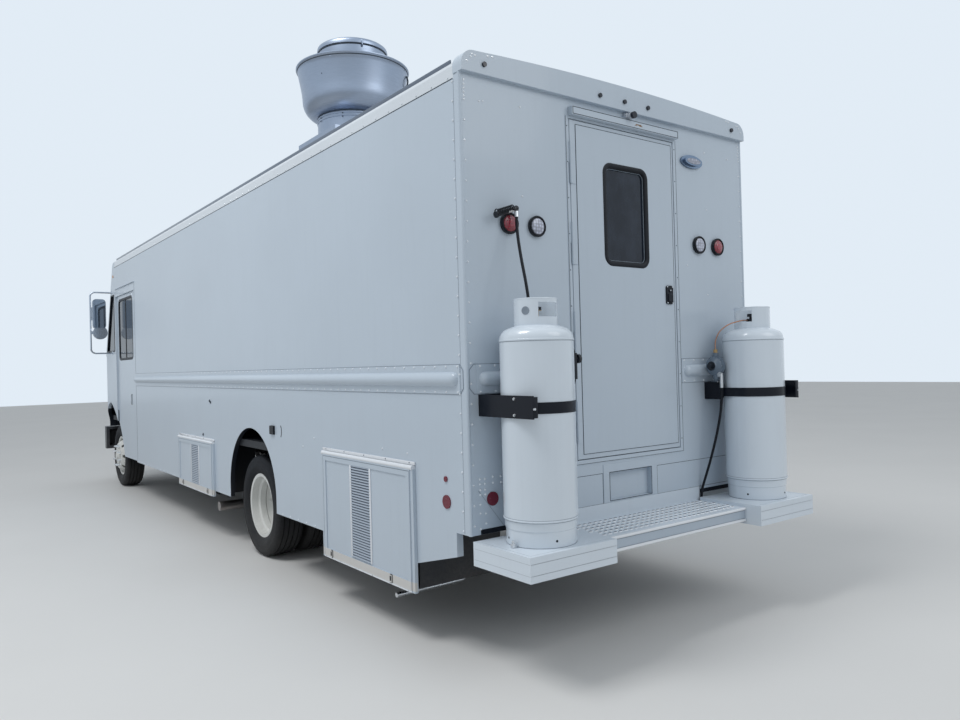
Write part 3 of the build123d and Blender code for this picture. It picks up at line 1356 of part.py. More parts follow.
# pipes and hoses are routes of (x, distance behind the rear wall, z)
feed_radius = 4
feed_in = [(560, 0, 1728), (560, 80, 1728), (552, 98, 1660), (527, 100, 1600)]
feed_out = [(527, 100, 1453), (548, 98, 1400), (615, 75, 1366), (615, 0, 1366)]
gas_line_end = Vector(-kick_right - 12, rear_y - 95, 500)
gas_line_way = Vector(0, -53, -22).normalized()
gas_line_boss = 30
gas_line_radius = 11
grip_foot = Vector(tank_half - 38, rear_y + 60, 2312)
grip_way = Vector(-6, -8, 50).normalized()
grip_ferrule = 50
grip_elbow = 15
grip_reach = Vector(128, 0, -44)
grip_radius = 13
grip_end = 17
grip_collar = 1.08
with BuildPart() as gas_fittings:
    for x_spot, y_spot in tank_spots:
        bar((x_spot, y_spot, crown), (x_spot, y_spot, crown + valve_body), valve_radius)
        bar((x_spot, y_spot, crown + valve_body), (x_spot, y_spot, crown + valve_body + hand_wheel_thick),
            hand_wheel_radius)
    x_left, y_left = tank_spots[0]
    elbow = (x_left, y_left - valve_nose_reach)
    bar((x_left, y_left, valve_nose_z), (*elbow, valve_nose_z), valve_nose)
    bar((*elbow, valve_nose_z - ferrule), (*elbow, valve_nose_z + 2 * ferrule), ferrule)
    x_right, y_right = tank_spots[1]
    bar((x_right, y_right, valve_nose_z), (x_right + valve_nose_reach, y_right, valve_nose_z), valve_nose)
    port_y = rear_y + regulator_reach
    port_x = regulator_inset - tank_half
    port_foot = regulator_z - port_half
    nut_foot = regulator_z + port_half
    turned(regulator_body, (port_x, port_y, regulator_z), 1)
    bar((port_x, port_y, port_foot), (port_x, port_y, nut_foot), port_radius)
    bar((port_x, port_y, nut_foot), (port_x, port_y, nut_foot + port_nut_long), port_nut)
    wide, deep, thick = regulator_foot
    block((port_x - wide, port_x + wide), (port_y - deep, port_y + wide),
          (bracket_head + fit_gap, bracket_head + fit_gap + thick))
    bar((port_x, port_y, bracket_head + thick), (port_x, port_y, port_foot), port_nut)
    outlet_z = regulator_z - outlet_drop
    bar((port_x, port_y, outlet_z), (port_x, port_y + outlet_reach, outlet_z), port_nut)
    ferrule_head, ferrule_foot = [regulator_z - drop for drop in outlet_ferrule]
    bar((port_x, port_y + outlet_reach, ferrule_foot), (port_x, port_y + outlet_reach, ferrule_head), ferrule)
    shut_x, shut_foot, shut_head, shut_radius = shut_off
    bar((shut_x, port_y, shut_foot), (shut_x, port_y, shut_head), shut_radius)
    knob_z, knob_radius, knob_near, knob_far = shut_off_knob
    bar((shut_x, port_y, knob_z), (shut_x - knob_near, port_y, knob_z), port_nut)
    bar((shut_x - knob_near, port_y, knob_z), (shut_x - knob_far, port_y, knob_z), knob_radius)
    stem_z, stem_radius = shut_off_stem
    bar((shut_x, rear_y, stem_z), (shut_x, port_y, stem_z), stem_radius)
    for route in (feed_in, feed_out):
        points = [(x, rear_y + back, z) for x, back, z in route]
        tube(points, widest_arcs(points), feed_radius)
    boss_end = gas_line_end + gas_line_way * gas_line_boss
    bar(gas_line_end, boss_end, gas_line_radius)
    bar(boss_end - Vector(0, 0, gas_line_radius), (boss_end.X, boss_end.Y, rail_top), gas_line_radius)
    grip_start = grip_foot + grip_way * grip_ferrule
    bar(grip_foot, grip_start, ferrule)
    with Locations(grip_start):
        Sphere(grip_elbow)
    bar(grip_start, grip_start + grip_reach, grip_radius)
    bar(grip_start + grip_reach, grip_start + grip_reach * grip_collar, grip_end)
    bar((grip_start.X, rear_y, grip_start.Z), grip_start, valve_nose)
save(gas_fittings, "gas_fittings")

# Gas hoses: one from the right regulator down into the gap before the step, one from the left
# cylinder up to its grip, and the bent copper tube between the right cylinder and its regulator
right_hose = [
    (port_x, 140, 1360), (port_x + 1, 139, 1290), (port_x + 10, 128, 1170), (-688, 104, 1040),
    (-670, 72, 900), (-654, 38, 780), (-646, 13, 700), (-644, 10, 630), (-644, -5, 570), (-644, -42, 522),
    (-644, -95, 500),
]
left_hose = [
    (tank_half, nose_off_wall, valve_nose_z + 2 * ferrule), (tank_half, 183, 1878),
    (tank_half - 4, 160, 1970), (tank_half - 12, 122, 2080), (tank_half - 22, 88, 2190),
    (tank_half - 32, 68, 2262), (tank_half - 38, 60, 2312),
]
pigtail = [
    (port_x, 100, 1606), (port_x, 100, 1658), (port_x - 14, 118, 1716),
    (valve_nose_reach + 108 - tank_half, tank_reach - 70, 1764),
    (valve_nose_reach + 54 - tank_half, tank_reach, valve_nose_z),
    (valve_nose_reach - tank_half, tank_reach, valve_nose_z),
]
with BuildPart() as gas_hoses:
    for route, radius in ((right_hose, hose_radius), (left_hose, hose_radius), (pigtail, pigtail_radius)):
        points = [(x, rear_y + back, z) for x, back, z in route]
        start = Vector(*points[0])
        finish = Vector(*points[-1])
        points[0] = start + (Vector(*points[1]) - start).normalized() * fit_gap
        points[-1] = finish + (Vector(*points[-2]) - finish).normalized() * fit_gap
        arcs = widest_arcs(points)
        print("hose arcs", [round(arc) for arc in arcs])
        tube(points, arcs, radius)
save(gas_hoses, "gas_hoses")

# Lamps: head, tail and clearance lamps and the round reflectors
tail_lamp_x = (696, 888)
tail_lamp_z = 2288
tail_lamp_radius = 56
tail_lamp_proud = 18
cap_lamp_x = (half_width - 139, 206, 0, -206, 139 - half_width)
cap_lamp_z = rear_cap_foot + 51
cap_lamp_radius = 13
cap_lamp_proud = 10
rear_reflector = (half_width - 143, 857)
reflector_radius = 36
reflector_proud = 6
# ahead of the rear wall, height and radius of what sits on each side wall
side_lamp_table = ((206, 832, reflector_radius), (210, 951, 15), (8360, wall_top - 116, 18))
porch_lamp = (-640, wall_top - 194)
porch_base = (105, 42, 14)
porch_lens = (84, 28, 30)
front_lamp_radius = 24
front_lamp_proud = 16
front_lamp_up = 0.5
with BuildPart() as lamps:
    for wide, high, proud in (porch_base, porch_lens):
        with BuildSketch(Plane.XZ.offset(-(rear_y + proud))) as oval:
            with Locations(porch_lamp):
                Ellipse(wide, high)
        extrude(oval.sketch, amount=proud)
    brow_foot = slope_head
    brow_head = Vector(0, ahead(roof_front_ahead), crown_top)
    brow_out = Vector(1, 0, 0).cross(brow_head - brow_foot).normalized()
    brow_middle = brow_foot + (brow_head - brow_foot) * front_lamp_up
    for x_lamp in cap_lamp_x:
        seat = brow_middle + Vector(x_lamp, 0, 0)
        bar(seat, seat + brow_out * front_lamp_proud, front_lamp_radius)
    for side in (1, -1):
        bar((side * lamp_x, ahead(nose_ahead - lamp_recess), lamp_z),
            (side * lamp_x, ahead(nose_ahead - 4), lamp_z), lamp_radius - fit_gap)
        for x_lamp in tail_lamp_x:
            bar((side * x_lamp, rear_y, tail_lamp_z), (side * x_lamp, rear_y + tail_lamp_proud, tail_lamp_z),
                tail_lamp_radius)
        x_lamp, z = rear_reflector
        bar((side * x_lamp, rear_y, z), (side * x_lamp, rear_y + reflector_proud, z), reflector_radius)
        for place, z, radius in side_lamp_table:
            bar((side * half_width, ahead(place), z),
                (side * (half_width + reflector_proud), ahead(place), z), radius)
    for x_lamp in cap_lamp_x:
        bar((x_lamp, rear_y + cap_proud, cap_lamp_z),
            (x_lamp, rear_y + cap_proud + cap_lamp_proud, cap_lamp_z), cap_lamp_radius)
save(lamps, "lamps")

# Rear camera: a small round housing on a bracket above the rear door's drip box
camera_middle = (-41, rear_cap_foot - 25)
camera_radius = 20
camera_span = (14, 74)
camera_bracket = (28, 26)
with BuildPart() as rear_camera:
    x_mid, z_mid = camera_middle
    bar((x_mid, rear_y + camera_span[0], z_mid), (x_mid, rear_y + camera_span[1], z_mid - 4), camera_radius)
    wide, high = camera_bracket
    block((x_mid, x_mid + wide), (rear_y, rear_y + 2 * camera_span[0]), (z_mid - high / 2, z_mid + high / 2))
save(rear_camera, "rear_camera")

# Generator exhaust: a thin pipe from under the generator's locker to the left side
generator_pipe = 14
generator_pipe_ahead = 740
generator_pipe_x = (half_width - 484, half_width + 12)
generator_pipe_z = 230
with BuildPart() as generator_exhaust:
    near, far = generator_pipe_x
    y_pipe = ahead(generator_pipe_ahead)
    tube([(near, y_pipe, locker_table[0][3] + 8), (near, y_pipe, generator_pipe_z),
          (far, y_pipe, generator_pipe_z - 6)], [36], generator_pipe)
save(generator_exhaust, "generator_exhaust")

# Wipers: two blades that lie along the foot of the windscreen, each on an arm from its spindle
wiper_u = 490
wiper_spindle_v = -490
wiper_blade_v = -412
wiper_blade_u = (130, 650)
wiper_arm_u = 400
wiper_blade = 6
wiper_arm = 5
wiper_boss = 14
wiper_blade_w = fit_gap + wiper_blade - glass_inset
wiper_arm_w = 20
with BuildPart() as wipers:
    for side in (1, -1):
        spindle, arm_start, arm_end, *blade = [
            screen_plane.from_local_coords((side * u, v, w))
            for u, v, w in (
                (wiper_u, wiper_spindle_v, fit_gap), (wiper_u, wiper_spindle_v, wiper_arm_w),
                (wiper_arm_u, wiper_blade_v, wiper_blade_w + wiper_blade),
                (wiper_blade_u[0], wiper_blade_v, wiper_blade_w),
                (wiper_blade_u[1], wiper_blade_v, wiper_blade_w),
            )
        ]
        bar(spindle, arm_start + (arm_start - spindle) * 0.3, wiper_boss)
        bar(arm_start, arm_end, wiper_arm)
        bar(*blade, wiper_blade)
save(wipers, "wipers")

# Roof fan: a curb and neck, with a spun bowl that stands on the neck and carries its domed cap
curb_half = 320
neck_sheet = 4
bowl_wall = 4
bowl_waist = 392
cap_radius = 268
cap_foot = fan_rim_z - 60
strut_z = fan_rim_z - 40
strut_inner = 240
strut_outer = 415
fan_middle = (fan_x, ahead(fan_ahead))
with BuildPart() as fan_neck:
    with BuildSketch(Plane.XZ.offset(-ahead(fan_ahead - curb_half))) as section:
        low = [(x, crown_z(x) + fit_gap) for x in (fan_x - curb_half, fan_x, fan_x + curb_half)]
        with BuildLine():
            ThreePointArc(*low)
            Polyline(low[2], (low[2][0], curb_top), (low[0][0], curb_top), low[0])
        make_face()
    extrude(amount=2 * curb_half)
    bar((*fan_middle, curb_top), (*fan_middle, fan_foot_z), fan_neck_radius)
    bar((*fan_middle, curb_top + 20), (*fan_middle, fan_foot_z + 1), fan_neck_radius - neck_sheet,
        mode=Mode.SUBTRACT)
save(fan_neck, "fan_neck")
with BuildPart() as fan_bowl:
    bowl_outside = (
        (fan_neck_radius - 5, fan_foot_z), (308, fan_foot_z + 4), (352, fan_foot_z + 42),
        (384, fan_foot_z + 110), (bowl_waist, fan_foot_z + 180), (fan_rim_radius - 8, fan_rim_z - 8),
        (fan_rim_radius, fan_rim_z - 4), (fan_rim_radius, fan_rim_z),
    )
    bowl_inside = (
        (fan_rim_radius - 12, fan_rim_z), (bowl_waist - bowl_wall, fan_foot_z + 180),
        (384 - bowl_wall, fan_foot_z + 112), (349, fan_foot_z + 45), (306, fan_foot_z + 8),
        (fan_neck_radius - 5, fan_foot_z + bowl_wall),
    )
    cap_outline = (
        (0, fan_top), (150, fan_top - 10), (cap_radius - 12, fan_top - 24), (cap_radius, fan_top - 36),
        (cap_radius, fan_top - 44), (cap_radius - 16, fan_top - 44), (cap_radius - 20, cap_foot),
        (0, cap_foot),
    )
    for outline in (bowl_outside + bowl_inside, cap_outline):
        with BuildSketch(Plane(origin=(*fan_middle, 0), x_dir=(1, 0, 0), z_dir=(0, -1, 0))) as half:
            with BuildLine():
                Polyline(*outline, close=True)
            make_face()
        revolve(half.sketch, axis=Axis((*fan_middle, 0), (0, 0, 1)))
    with Locations((*fan_middle, strut_z)):
        with PolarLocations((strut_inner + strut_outer) / 2, 4, start_angle=45):
            Box(strut_outer - strut_inner, 30, 8)
save(fan_bowl, "fan_bowl")

# Mirrors: a tube loop on each side of the cab, with a flat and a round mirror head
mirror_ahead = 8500
mirror_foot = 1845
mirror_head = 2690
mirror_out = half_width + 271
mirror_tube = 11
mirror_base = 4
mirror_deep = 45
flat_mirror = (half_width + 166, 2390, 170, 410)
round_mirror = (half_width + 156, 2130, 92)
with BuildPart() as mirrors:
    for side in (1, -1):
        y_arm = ahead(mirror_ahead)
        x_base = side * (half_width + fit_gap)
        tube([(x_base, y_arm, mirror_head), (side * mirror_out, y_arm, mirror_head),
              (side * mirror_out, y_arm, mirror_foot), (x_base, y_arm, mirror_foot)], [60, 60], mirror_tube)
        for z in (mirror_foot, mirror_head):
            block((x_base, x_base + side * mirror_base), (y_arm - 25, y_arm + 25), (z - 25, z + 25))
        x_flat, z_flat, wide, high = flat_mirror
        with BuildSketch(Plane.XZ.offset(-(y_arm + mirror_deep))) as back:
            with Locations((side * x_flat, z_flat)):
                RectangleRounded(wide, high, 50)
        extrude(back.sketch, amount=mirror_deep)
        block((side * (x_flat + wide / 2 - 1), side * (mirror_out + mirror_tube)),
              (y_arm, y_arm + 30), (z_flat - 90, z_flat + 90))
        x_round, z_round, radius = round_mirror
        bar((side * x_round, y_arm, z_round), (side * x_round, y_arm + mirror_deep, z_round), radius)
        block((side * (x_round + radius - 12), side * (mirror_out + mirror_tube)),
              (y_arm, y_arm + 30), (z_round - 20, z_round + 20))
save(mirrors, "mirrors")
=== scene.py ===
import json
import math

import bmesh
import bpy
from mathutils import Matrix, Vector


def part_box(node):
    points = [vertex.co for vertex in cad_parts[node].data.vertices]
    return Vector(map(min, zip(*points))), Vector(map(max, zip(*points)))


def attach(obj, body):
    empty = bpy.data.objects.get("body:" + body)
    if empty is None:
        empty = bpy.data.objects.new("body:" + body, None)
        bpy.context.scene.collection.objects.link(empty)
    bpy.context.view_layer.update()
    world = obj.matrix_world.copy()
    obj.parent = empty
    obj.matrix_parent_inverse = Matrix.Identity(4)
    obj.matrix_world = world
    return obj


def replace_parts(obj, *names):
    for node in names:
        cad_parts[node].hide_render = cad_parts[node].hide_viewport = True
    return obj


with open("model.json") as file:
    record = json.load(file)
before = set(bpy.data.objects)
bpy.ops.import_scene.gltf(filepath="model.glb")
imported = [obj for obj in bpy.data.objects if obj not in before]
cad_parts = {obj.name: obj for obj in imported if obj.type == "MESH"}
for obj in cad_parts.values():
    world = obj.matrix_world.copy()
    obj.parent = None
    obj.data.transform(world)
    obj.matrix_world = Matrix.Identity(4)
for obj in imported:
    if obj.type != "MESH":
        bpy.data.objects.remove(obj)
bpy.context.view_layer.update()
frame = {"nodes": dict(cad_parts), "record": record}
nodes = frame["nodes"]
record = frame["record"]

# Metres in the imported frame: +X is the vehicle's left, -Y its front, +Z up
REAR_Y = 4.445
HALF_WIDTH = 1.184
WALL_TOP = 3.016
WHEEL_Z = 0.420
BELT_Z = 1.475
TANK_X = 0.918
TANK_Y = REAR_Y + 0.235
TANK_RADIUS = 0.186
STEP_REACH = 0.350
SIDES = (1, -1)
HANDS = ((1, "left"), (-1, "right"))
LEFTWARD = (1, 0, 0)
REARWARD = (0, 1, 0)
FORWARD = (0, -1, 0)
UPWARD = (0, 0, 1)


def ahead(distance):
    """Y of a place this far forward of the rear wall's outer face."""
    return REAR_Y - distance


def placed(name, data):
    """A new object of some data, in the scene."""
    item = bpy.data.objects.new(name, data)
    bpy.context.scene.collection.objects.link(item)
    return item


def between(near, far):
    """The Y span from one distance ahead of the rear wall to another."""
    return ahead(near), ahead(far)


# Camera, at the photograph's angle
IMAGE_WIDE = 960
FOCAL_PIXELS = 762.7
SENSOR = 36.0
EYE = Vector((3.421, 7.575, 1.547))
YAW = math.radians(36.59)
PITCH = math.radians(0.36)
ROLL = math.radians(-1.52)


def make_camera():
    forward = Vector((-math.sin(YAW) * math.cos(PITCH), -math.cos(YAW) * math.cos(PITCH), math.sin(PITCH)))
    level_right = forward.cross(Vector(UPWARD)).normalized()
    level_up = level_right.cross(forward)
    right = math.cos(ROLL) * level_right + math.sin(ROLL) * level_up
    up = math.cos(ROLL) * level_up - math.sin(ROLL) * level_right
    data = bpy.data.cameras.new("camera")
    data.sensor_width = SENSOR
    data.lens = FOCAL_PIXELS / IMAGE_WIDE * SENSOR
    camera = placed("camera", data)
    turn = Matrix((right, up, -forward)).transposed().to_4x4()
    camera.matrix_world = Matrix.Translation(EYE) @ turn
    bpy.context.scene.camera = camera


make_camera()

# Node building blocks, for shaders and for geometry


def feed(tree, node, values):
    """Sets a node's inputs, by name or number: a socket is joined, and anything else is the input's value."""
    for label, value in dict(values).items():
        if isinstance(value, bpy.types.NodeSocket):
            tree.links.new(value, node.inputs[label])
        else:
            node.inputs[label].default_value = value
    return node


def add_node(tree, kind, values=(), **settings):
    """A new node with its settings and inputs."""
    node = tree.nodes.new(kind)
    for label, setting in settings.items():
        setattr(node, label, setting)
    return feed(tree, node, values)


def new_tree(name, kind, inputs, outputs):
    """An empty group with (name, kind, default) inputs and (name, kind) outputs; gives it and both its ends."""
    tree = bpy.data.node_groups.new(name, kind + "NodeTree")
    for label, socket_kind, default in inputs:
        socket = tree.interface.new_socket(label, in_out="INPUT", socket_type="NodeSocket" + socket_kind)
        if default is not None:
            socket.default_value = default
    for label, socket_kind in outputs:
        tree.interface.new_socket(label, in_out="OUTPUT", socket_type="NodeSocket" + socket_kind)
    return tree, tree.nodes.new("NodeGroupInput"), tree.nodes.new("NodeGroupOutput")


def maths(tree, operation, *values, clamp=False):
    """A maths node of sockets or numbers; gives its output socket."""
    return add_node(tree, "ShaderNodeMath", enumerate(values), operation=operation, use_clamp=clamp).outputs[0]


def shade(colour, share):
    return tuple(share * part for part in colour)


def blend_colour(tree, factor, under, over):
    """Mixes two colours, each a socket or a tuple; gives the result's socket."""
    under, over = ((*colour, 1) if isinstance(colour, tuple) else colour for colour in (under, over))
    return add_node(tree, "ShaderNodeMix", {0: factor, 6: under, 7: over}, data_type="RGBA").outputs[2]


def own_place(tree):
    """Object coordinates, as a socket."""
    return tree.nodes.new("ShaderNodeTexCoord").outputs["Object"]


def place_of(tree, scale=(1, 1, 1)):
    """Object coordinates through a mapping; gives the vector socket."""
    return add_node(tree, "ShaderNodeMapping", {"Vector": own_place(tree), "Scale": scale}).outputs[0]


def axes_of(tree, vector):
    return add_node(tree, "ShaderNodeSeparateXYZ", {0: vector}).outputs


def noise(tree, vector, scale, detail=3.0, roughness=0.55):
    return add_node(tree, "ShaderNodeTexNoise", {
        "Vector": vector, "Scale": scale, "Detail": detail, "Roughness": roughness}).outputs["Fac"]


def ramp(tree, value, low, high, to_low=0.0, to_high=1.0):
    """A clamped linear map of a value."""
    return add_node(tree, "ShaderNodeMapRange", {
        "Value": value, "From Min": low, "From Max": high, "To Min": to_low, "To Max": to_high}).outputs[0]


def bump(tree, height, strength, distance, more=()):
    """The normal of a bumped height."""
    return add_node(tree, "ShaderNodeBump", {
        "Height": height, "Strength": strength, "Distance": distance, **dict(more)}).outputs[0]


def in_boxes(tree, boxes):
    """1 inside any of the boxes of Object coordinates and 0 outside; each box is of (axis, low, high) spans."""
    total = None
    for box in boxes:
        axes = axes_of(tree, place_of(tree))
        mask = None
        for axis, low, high in box:
            part = maths(tree, "COMPARE", axes[axis], (low + high) / 2, (high - low) / 2)
            mask = part if mask is None else maths(tree, "MULTIPLY", mask, part)
        total = mask if total is None else maths(tree, "ADD", total, mask, clamp=True)
    return total


def patched(tree, base, patches):
    """A base colour with patches over it, each (colour, boxes)."""
    for colour, boxes in patches:
        base = blend_colour(tree, in_boxes(tree, boxes), base, colour)
    return base


def make_weather_group():
    """Road dust that rises from the ground, and rain streaks that run down, as masks."""
    group, given, out = new_tree(
        "weathering", "Shader",
        (("Dust Top", "Float", 1.0), ("Dust", "Float", 0.5), ("Streaks", "Float", 0.3)),
        (("Dust Mask", "Float"), ("Streak Mask", "Float")))
    place = own_place(group)
    height = maths(group, "DIVIDE", axes_of(group, place)["Z"], given.outputs["Dust Top"])
    curve = maths(group, "POWER", maths(group, "SUBTRACT", 1.0, height, clamp=True), 1.8)
    cloud = ramp(group, noise(group, place, 2.3, 5.0, 0.62), 0.3, 0.7, 0.45, 1.3)
    grit = ramp(group, noise(group, place, 60.0, 2.0, 0.6), 0.35, 0.65, 0.75, 1.1)
    speckled = maths(group, "MULTIPLY", maths(group, "MULTIPLY", curve, cloud), grit)
    runs = ramp(group, noise(group, place_of(group, (9.0, 9.0, 0.5)), 3.0, 4.0, 0.6), 0.52, 0.74)
    feed(group, out, {
        "Dust Mask": maths(group, "MULTIPLY", speckled, given.outputs["Dust"], clamp=True),
        "Streak Mask": maths(group, "MULTIPLY", runs, given.outputs["Streaks"], clamp=True)})
    return group


def make_peel_group():
    """The slight waves of sheet metal and its sprayed coat, as a normal."""
    group, given, out = new_tree(
        "sheet_waves", "Shader", (("Wave", "Float", 0.02), ("Peel", "Float", 0.02)), (("Normal", "Vector"),))
    place = own_place(group)
    wave = bump(group, noise(group, place, 1.7, 2.0, 0.4), given.outputs["Wave"], 0.02)
    peel = bump(group, noise(group, place, 240.0, 2.0, 0.5), given.outputs["Peel"], 0.001, {"Normal": wave})
    feed(group, out, {"Normal": peel})
    return group


WEATHER = make_weather_group()
PEEL = make_peel_group()
ROAD_DUST = (0.36, 0.33, 0.29)
COAT_ROUGHNESS = 0.08
FINISHES = {}


def start_material(name, roughness=0.5, metallic=0.0, coat=0.0, specular=0.4):
    """A new finish with its Principled shader's plain values set; gives its tree and its shader."""
    material = bpy.data.materials.new(name)
    material.use_nodes = True
    FINISHES[name] = material
    tree = material.node_tree
    return tree, feed(tree, tree.nodes["Principled BSDF"], {
        "Roughness": roughness, "Metallic": metallic, "Coat Weight": coat, "Coat Roughness": COAT_ROUGHNESS,
        "Specular IOR Level": specular})


def weather_of(tree, dust_top, dust, streaks):
    return add_node(tree, "ShaderNodeGroup", {"Dust Top": dust_top, "Dust": dust, "Streaks": streaks},
                    node_tree=WEATHER).outputs


def painted(name, colour, roughness=0.32, coat=0.3, dust_top=1.1, dust=0.12, streaks=0.05,
            dust_colour=ROAD_DUST, patches=(), specular=0.4):
    """Sprayed paint with faint road dust and rain streaks. Each patch is (colour, boxes) of another tone."""
    tree, shader = start_material(name, roughness, 0.0, coat, specular)
    weather = weather_of(tree, dust_top, dust, streaks)
    tone = ramp(tree, noise(tree, place_of(tree), 1.1), 0.3, 0.7)
    base = patched(tree, blend_colour(tree, tone, colour, shade(colour, 0.96)), patches)
    streaky = blend_colour(tree, weather["Streak Mask"], base, shade(colour, 0.6))
    skin = add_node(tree, "ShaderNodeGroup", {"Wave": 0.05, "Peel": 0.06}, node_tree=PEEL)
    feed(tree, shader, {
        "Base Color": blend_colour(tree, weather["Dust Mask"], streaky, dust_colour),
        "Roughness": maths(tree, "MULTIPLY_ADD", weather["Dust Mask"], 0.45, roughness, clamp=True),
        "Coat Weight": maths(tree, "MULTIPLY_ADD", weather["Dust Mask"], -coat, coat, clamp=True),
        "Normal": skin.outputs["Normal"]})


def brushed(name, colour, roughness, along=(1.0, 1.0, 60.0), stain=(0.3, 0.27, 0.24), stains=0.2):
    """Bare metal with fine lines along one way and patchy stains."""
    tree, shader = start_material(name, roughness, 1.0)
    lines = noise(tree, place_of(tree, along), 14.0, 4.0, 0.7)
    line_tone = ramp(tree, lines, 0.3, 0.7)
    base = blend_colour(tree, line_tone, colour, shade(colour, 0.82))
    cloud = ramp(tree, noise(tree, place_of(tree), 3.0, 5.0, 0.6), 0.45, 0.75)
    spots = maths(tree, "MULTIPLY", cloud, stains, clamp=True)
    feed(tree, shader, {
        "Base Color": blend_colour(tree, spots, base, stain),
        "Roughness": maths(tree, "MULTIPLY_ADD", line_tone, 0.16, roughness, clamp=True),
        "Normal": bump(tree, lines, 0.08, 0.001)})


def grained(name, colour, roughness, scale=160.0, depth=0.0006, dust=0.0, patches=(), metal=(),
            metal_colour=(0.6, 0.6, 0.6), specular=0.22):
    """Moulded plastic, rubber or cast metal with a fine grain; patches of other colours, some bare metal."""
    tree, shader = start_material(name, roughness, 0.0, 0.0, specular)
    weather = weather_of(tree, 0.9, dust, 0.0)
    grain = noise(tree, place_of(tree), scale, 3.0, 0.6)
    mottle = ramp(tree, noise(tree, place_of(tree), 6.0, 4.0, 0.6), 0.3, 0.7)
    base = patched(tree, blend_colour(tree, mottle, colour, shade(colour, 0.7)), patches)
    if metal:
        bare = in_boxes(tree, metal)
        base = blend_colour(tree, bare, base, metal_colour)
        feed(tree, shader, {"Metallic": bare})
    feed(tree, shader, {
        "Base Color": blend_colour(tree, weather["Dust Mask"], base, ROAD_DUST),
        "Roughness": ramp(tree, grain, 0.3, 0.7, roughness - 0.06, roughness + 0.1),
        "Normal": bump(tree, grain, 0.5, depth)})


def glazed(name, colour, through, roughness=0.04, haze_colour=(0.16, 0.18, 0.21), haze=0.10, specular=0.3):
    """Tinted window glass with a light film of dust."""
    tree, shader = start_material(name, roughness, 0.0, 0.0, specular)
    film = noise(tree, place_of(tree, (1.0, 1.0, 0.6)), 5.0, 4.0, 0.65)
    veil = maths(tree, "MULTIPLY", ramp(tree, film, 0.45, 0.8), haze, clamp=True)
    feed(tree, shader, {
        "IOR": 1.45, "Transmission Weight": through,
        "Base Color": blend_colour(tree, veil, colour, haze_colour),
        "Roughness": ramp(tree, film, 0.3, 0.8, roughness, roughness + 0.08)})


def lensed(name, colour, cell, glow=0.35):
    """Lamp lens: moulded optic cells under a clear face."""
    tree, shader = start_material(name, 0.12, 0.0, 0.6, 0.5)
    cells = add_node(tree, "ShaderNodeTexVoronoi", {
        "Vector": place_of(tree), "Scale": 1.0 / cell, "Randomness": 0.35}).outputs["Distance"]
    feed(tree, shader, {
        "Base Color": blend_colour(tree, ramp(tree, cells, 0.1, 0.6), colour, shade(colour, glow)),
        "Roughness": ramp(tree, cells, 0.0, 0.6, 0.12, 0.32),
        "Normal": bump(tree, cells, 0.4, 0.002)})


def silvered(name):
    """Mirror glass, a little clouded."""
    tree, shader = start_material(name, 0.03, 1.0)
    cloud = noise(tree, place_of(tree), 4.0)
    feed(tree, shader, {
        "Base Color": blend_colour(tree, ramp(tree, cloud, 0.3, 0.7), (0.34, 0.40, 0.48), (0.29, 0.35, 0.43)),
        "Roughness": ramp(tree, cloud, 0.3, 0.8, 0.02, 0.07)})


# Boxes of Object coordinates that a finish shows in another tone, each of (axis, low, high) spans
X, Y, Z = 0, 1, 2
BARE_FITTINGS = (
    ((X, 0.85, 0.93), (Y, REAR_Y + 0.04, REAR_Y + 0.085), (Z, 2.305, 2.345)),
    ((X, -0.735, -0.69), (Y, REAR_Y + 0.12, REAR_Y + 0.16), (Z, 1.35, 1.46)),
    ((X, -0.67, -0.62), (Z, 0.40, 0.62)),
    ((X, 0.485, 0.4965), (Z, 1.550, 1.582)),
)
BRASS_NUTS = (((X, -0.727, -0.697), (Z, 1.583, 1.61)), ((X, 0.89, 0.94), (Z, 1.745, 1.812)))
REGULATOR = (((X, -0.80, -0.60), (Z, 1.40, 1.583)),)
VENT = (((X, -0.665, -0.60), (Z, 1.45, 1.56)),)
COPPER_RUN = (((X, -0.90, -0.69), (Z, 1.607, 1.82)),)
PORCH_SHELL = (((X, -0.76, -0.52), (Z, 2.77, 2.88)),)
HEAD_LAMPS = (((Y, -5.0, -4.60), (Z, 0.90, 1.20)),)
BROW_LAMPS = (((Y, -4.60, -4.0), (Z, 2.85, 3.15)), ((Y, -4.30, -3.60), (Z, 2.85, 2.96)))
TAIL_GROMMETS = (((Y, REAR_Y - 0.01, REAR_Y + 0.05), (Z, 2.20, 2.38)),)
CAP_BULLETS = (((Y, REAR_Y, REAR_Y + 0.06), (Z, 3.06, 3.12)),)
CAMERA_LENS = (((Y, REAR_Y + 0.055, REAR_Y + 0.08),),)
# Boxes of painted shade: inside the wheel arches, on the walls' inner feet, and inside the lower cab doors and the
# cowl.
WHEEL_ARCH_SHADE = ((X, -1.1815, 1.1815), (Y, ahead(3.72), ahead(2.50)), (Z, 0.30, 1.12))
WALL_FOOT_SHADE = ((X, -1.1815, 1.1815), (Z, 0.30, 0.47))
DOOR_INSIDE_SHADE = ((X, -1.1645, 1.1645), (Y, -4.2, -3.3), (Z, 0.2, 1.06))
COWL_INSIDE_SHADE = ((X, -1.178, 1.178), (Y, -4.70, -3.4), (Z, 0.2, 1.06))
# The step's set-back riser, where painted shade goes.
STEP_RISER = ((X, -0.616, 0.616), (Y, REAR_Y + 0.3485, REAR_Y + 0.352), (Z, 0.571, 0.6225))

WHITE = (0.64, 0.71, 0.78)
# The body's white: painted darker and bluer than the steps' and cylinders' white, as shade and sky light.
SKY_SHADED_WHITE = (0.50, 0.575, 0.655)
RISER_SHADE = (0.40, 0.47, 0.55)
# Dark blue-grey: painted shade along the roof rails' tops.
RAIL_TOP_SHADE = (0.12, 0.15, 0.20)
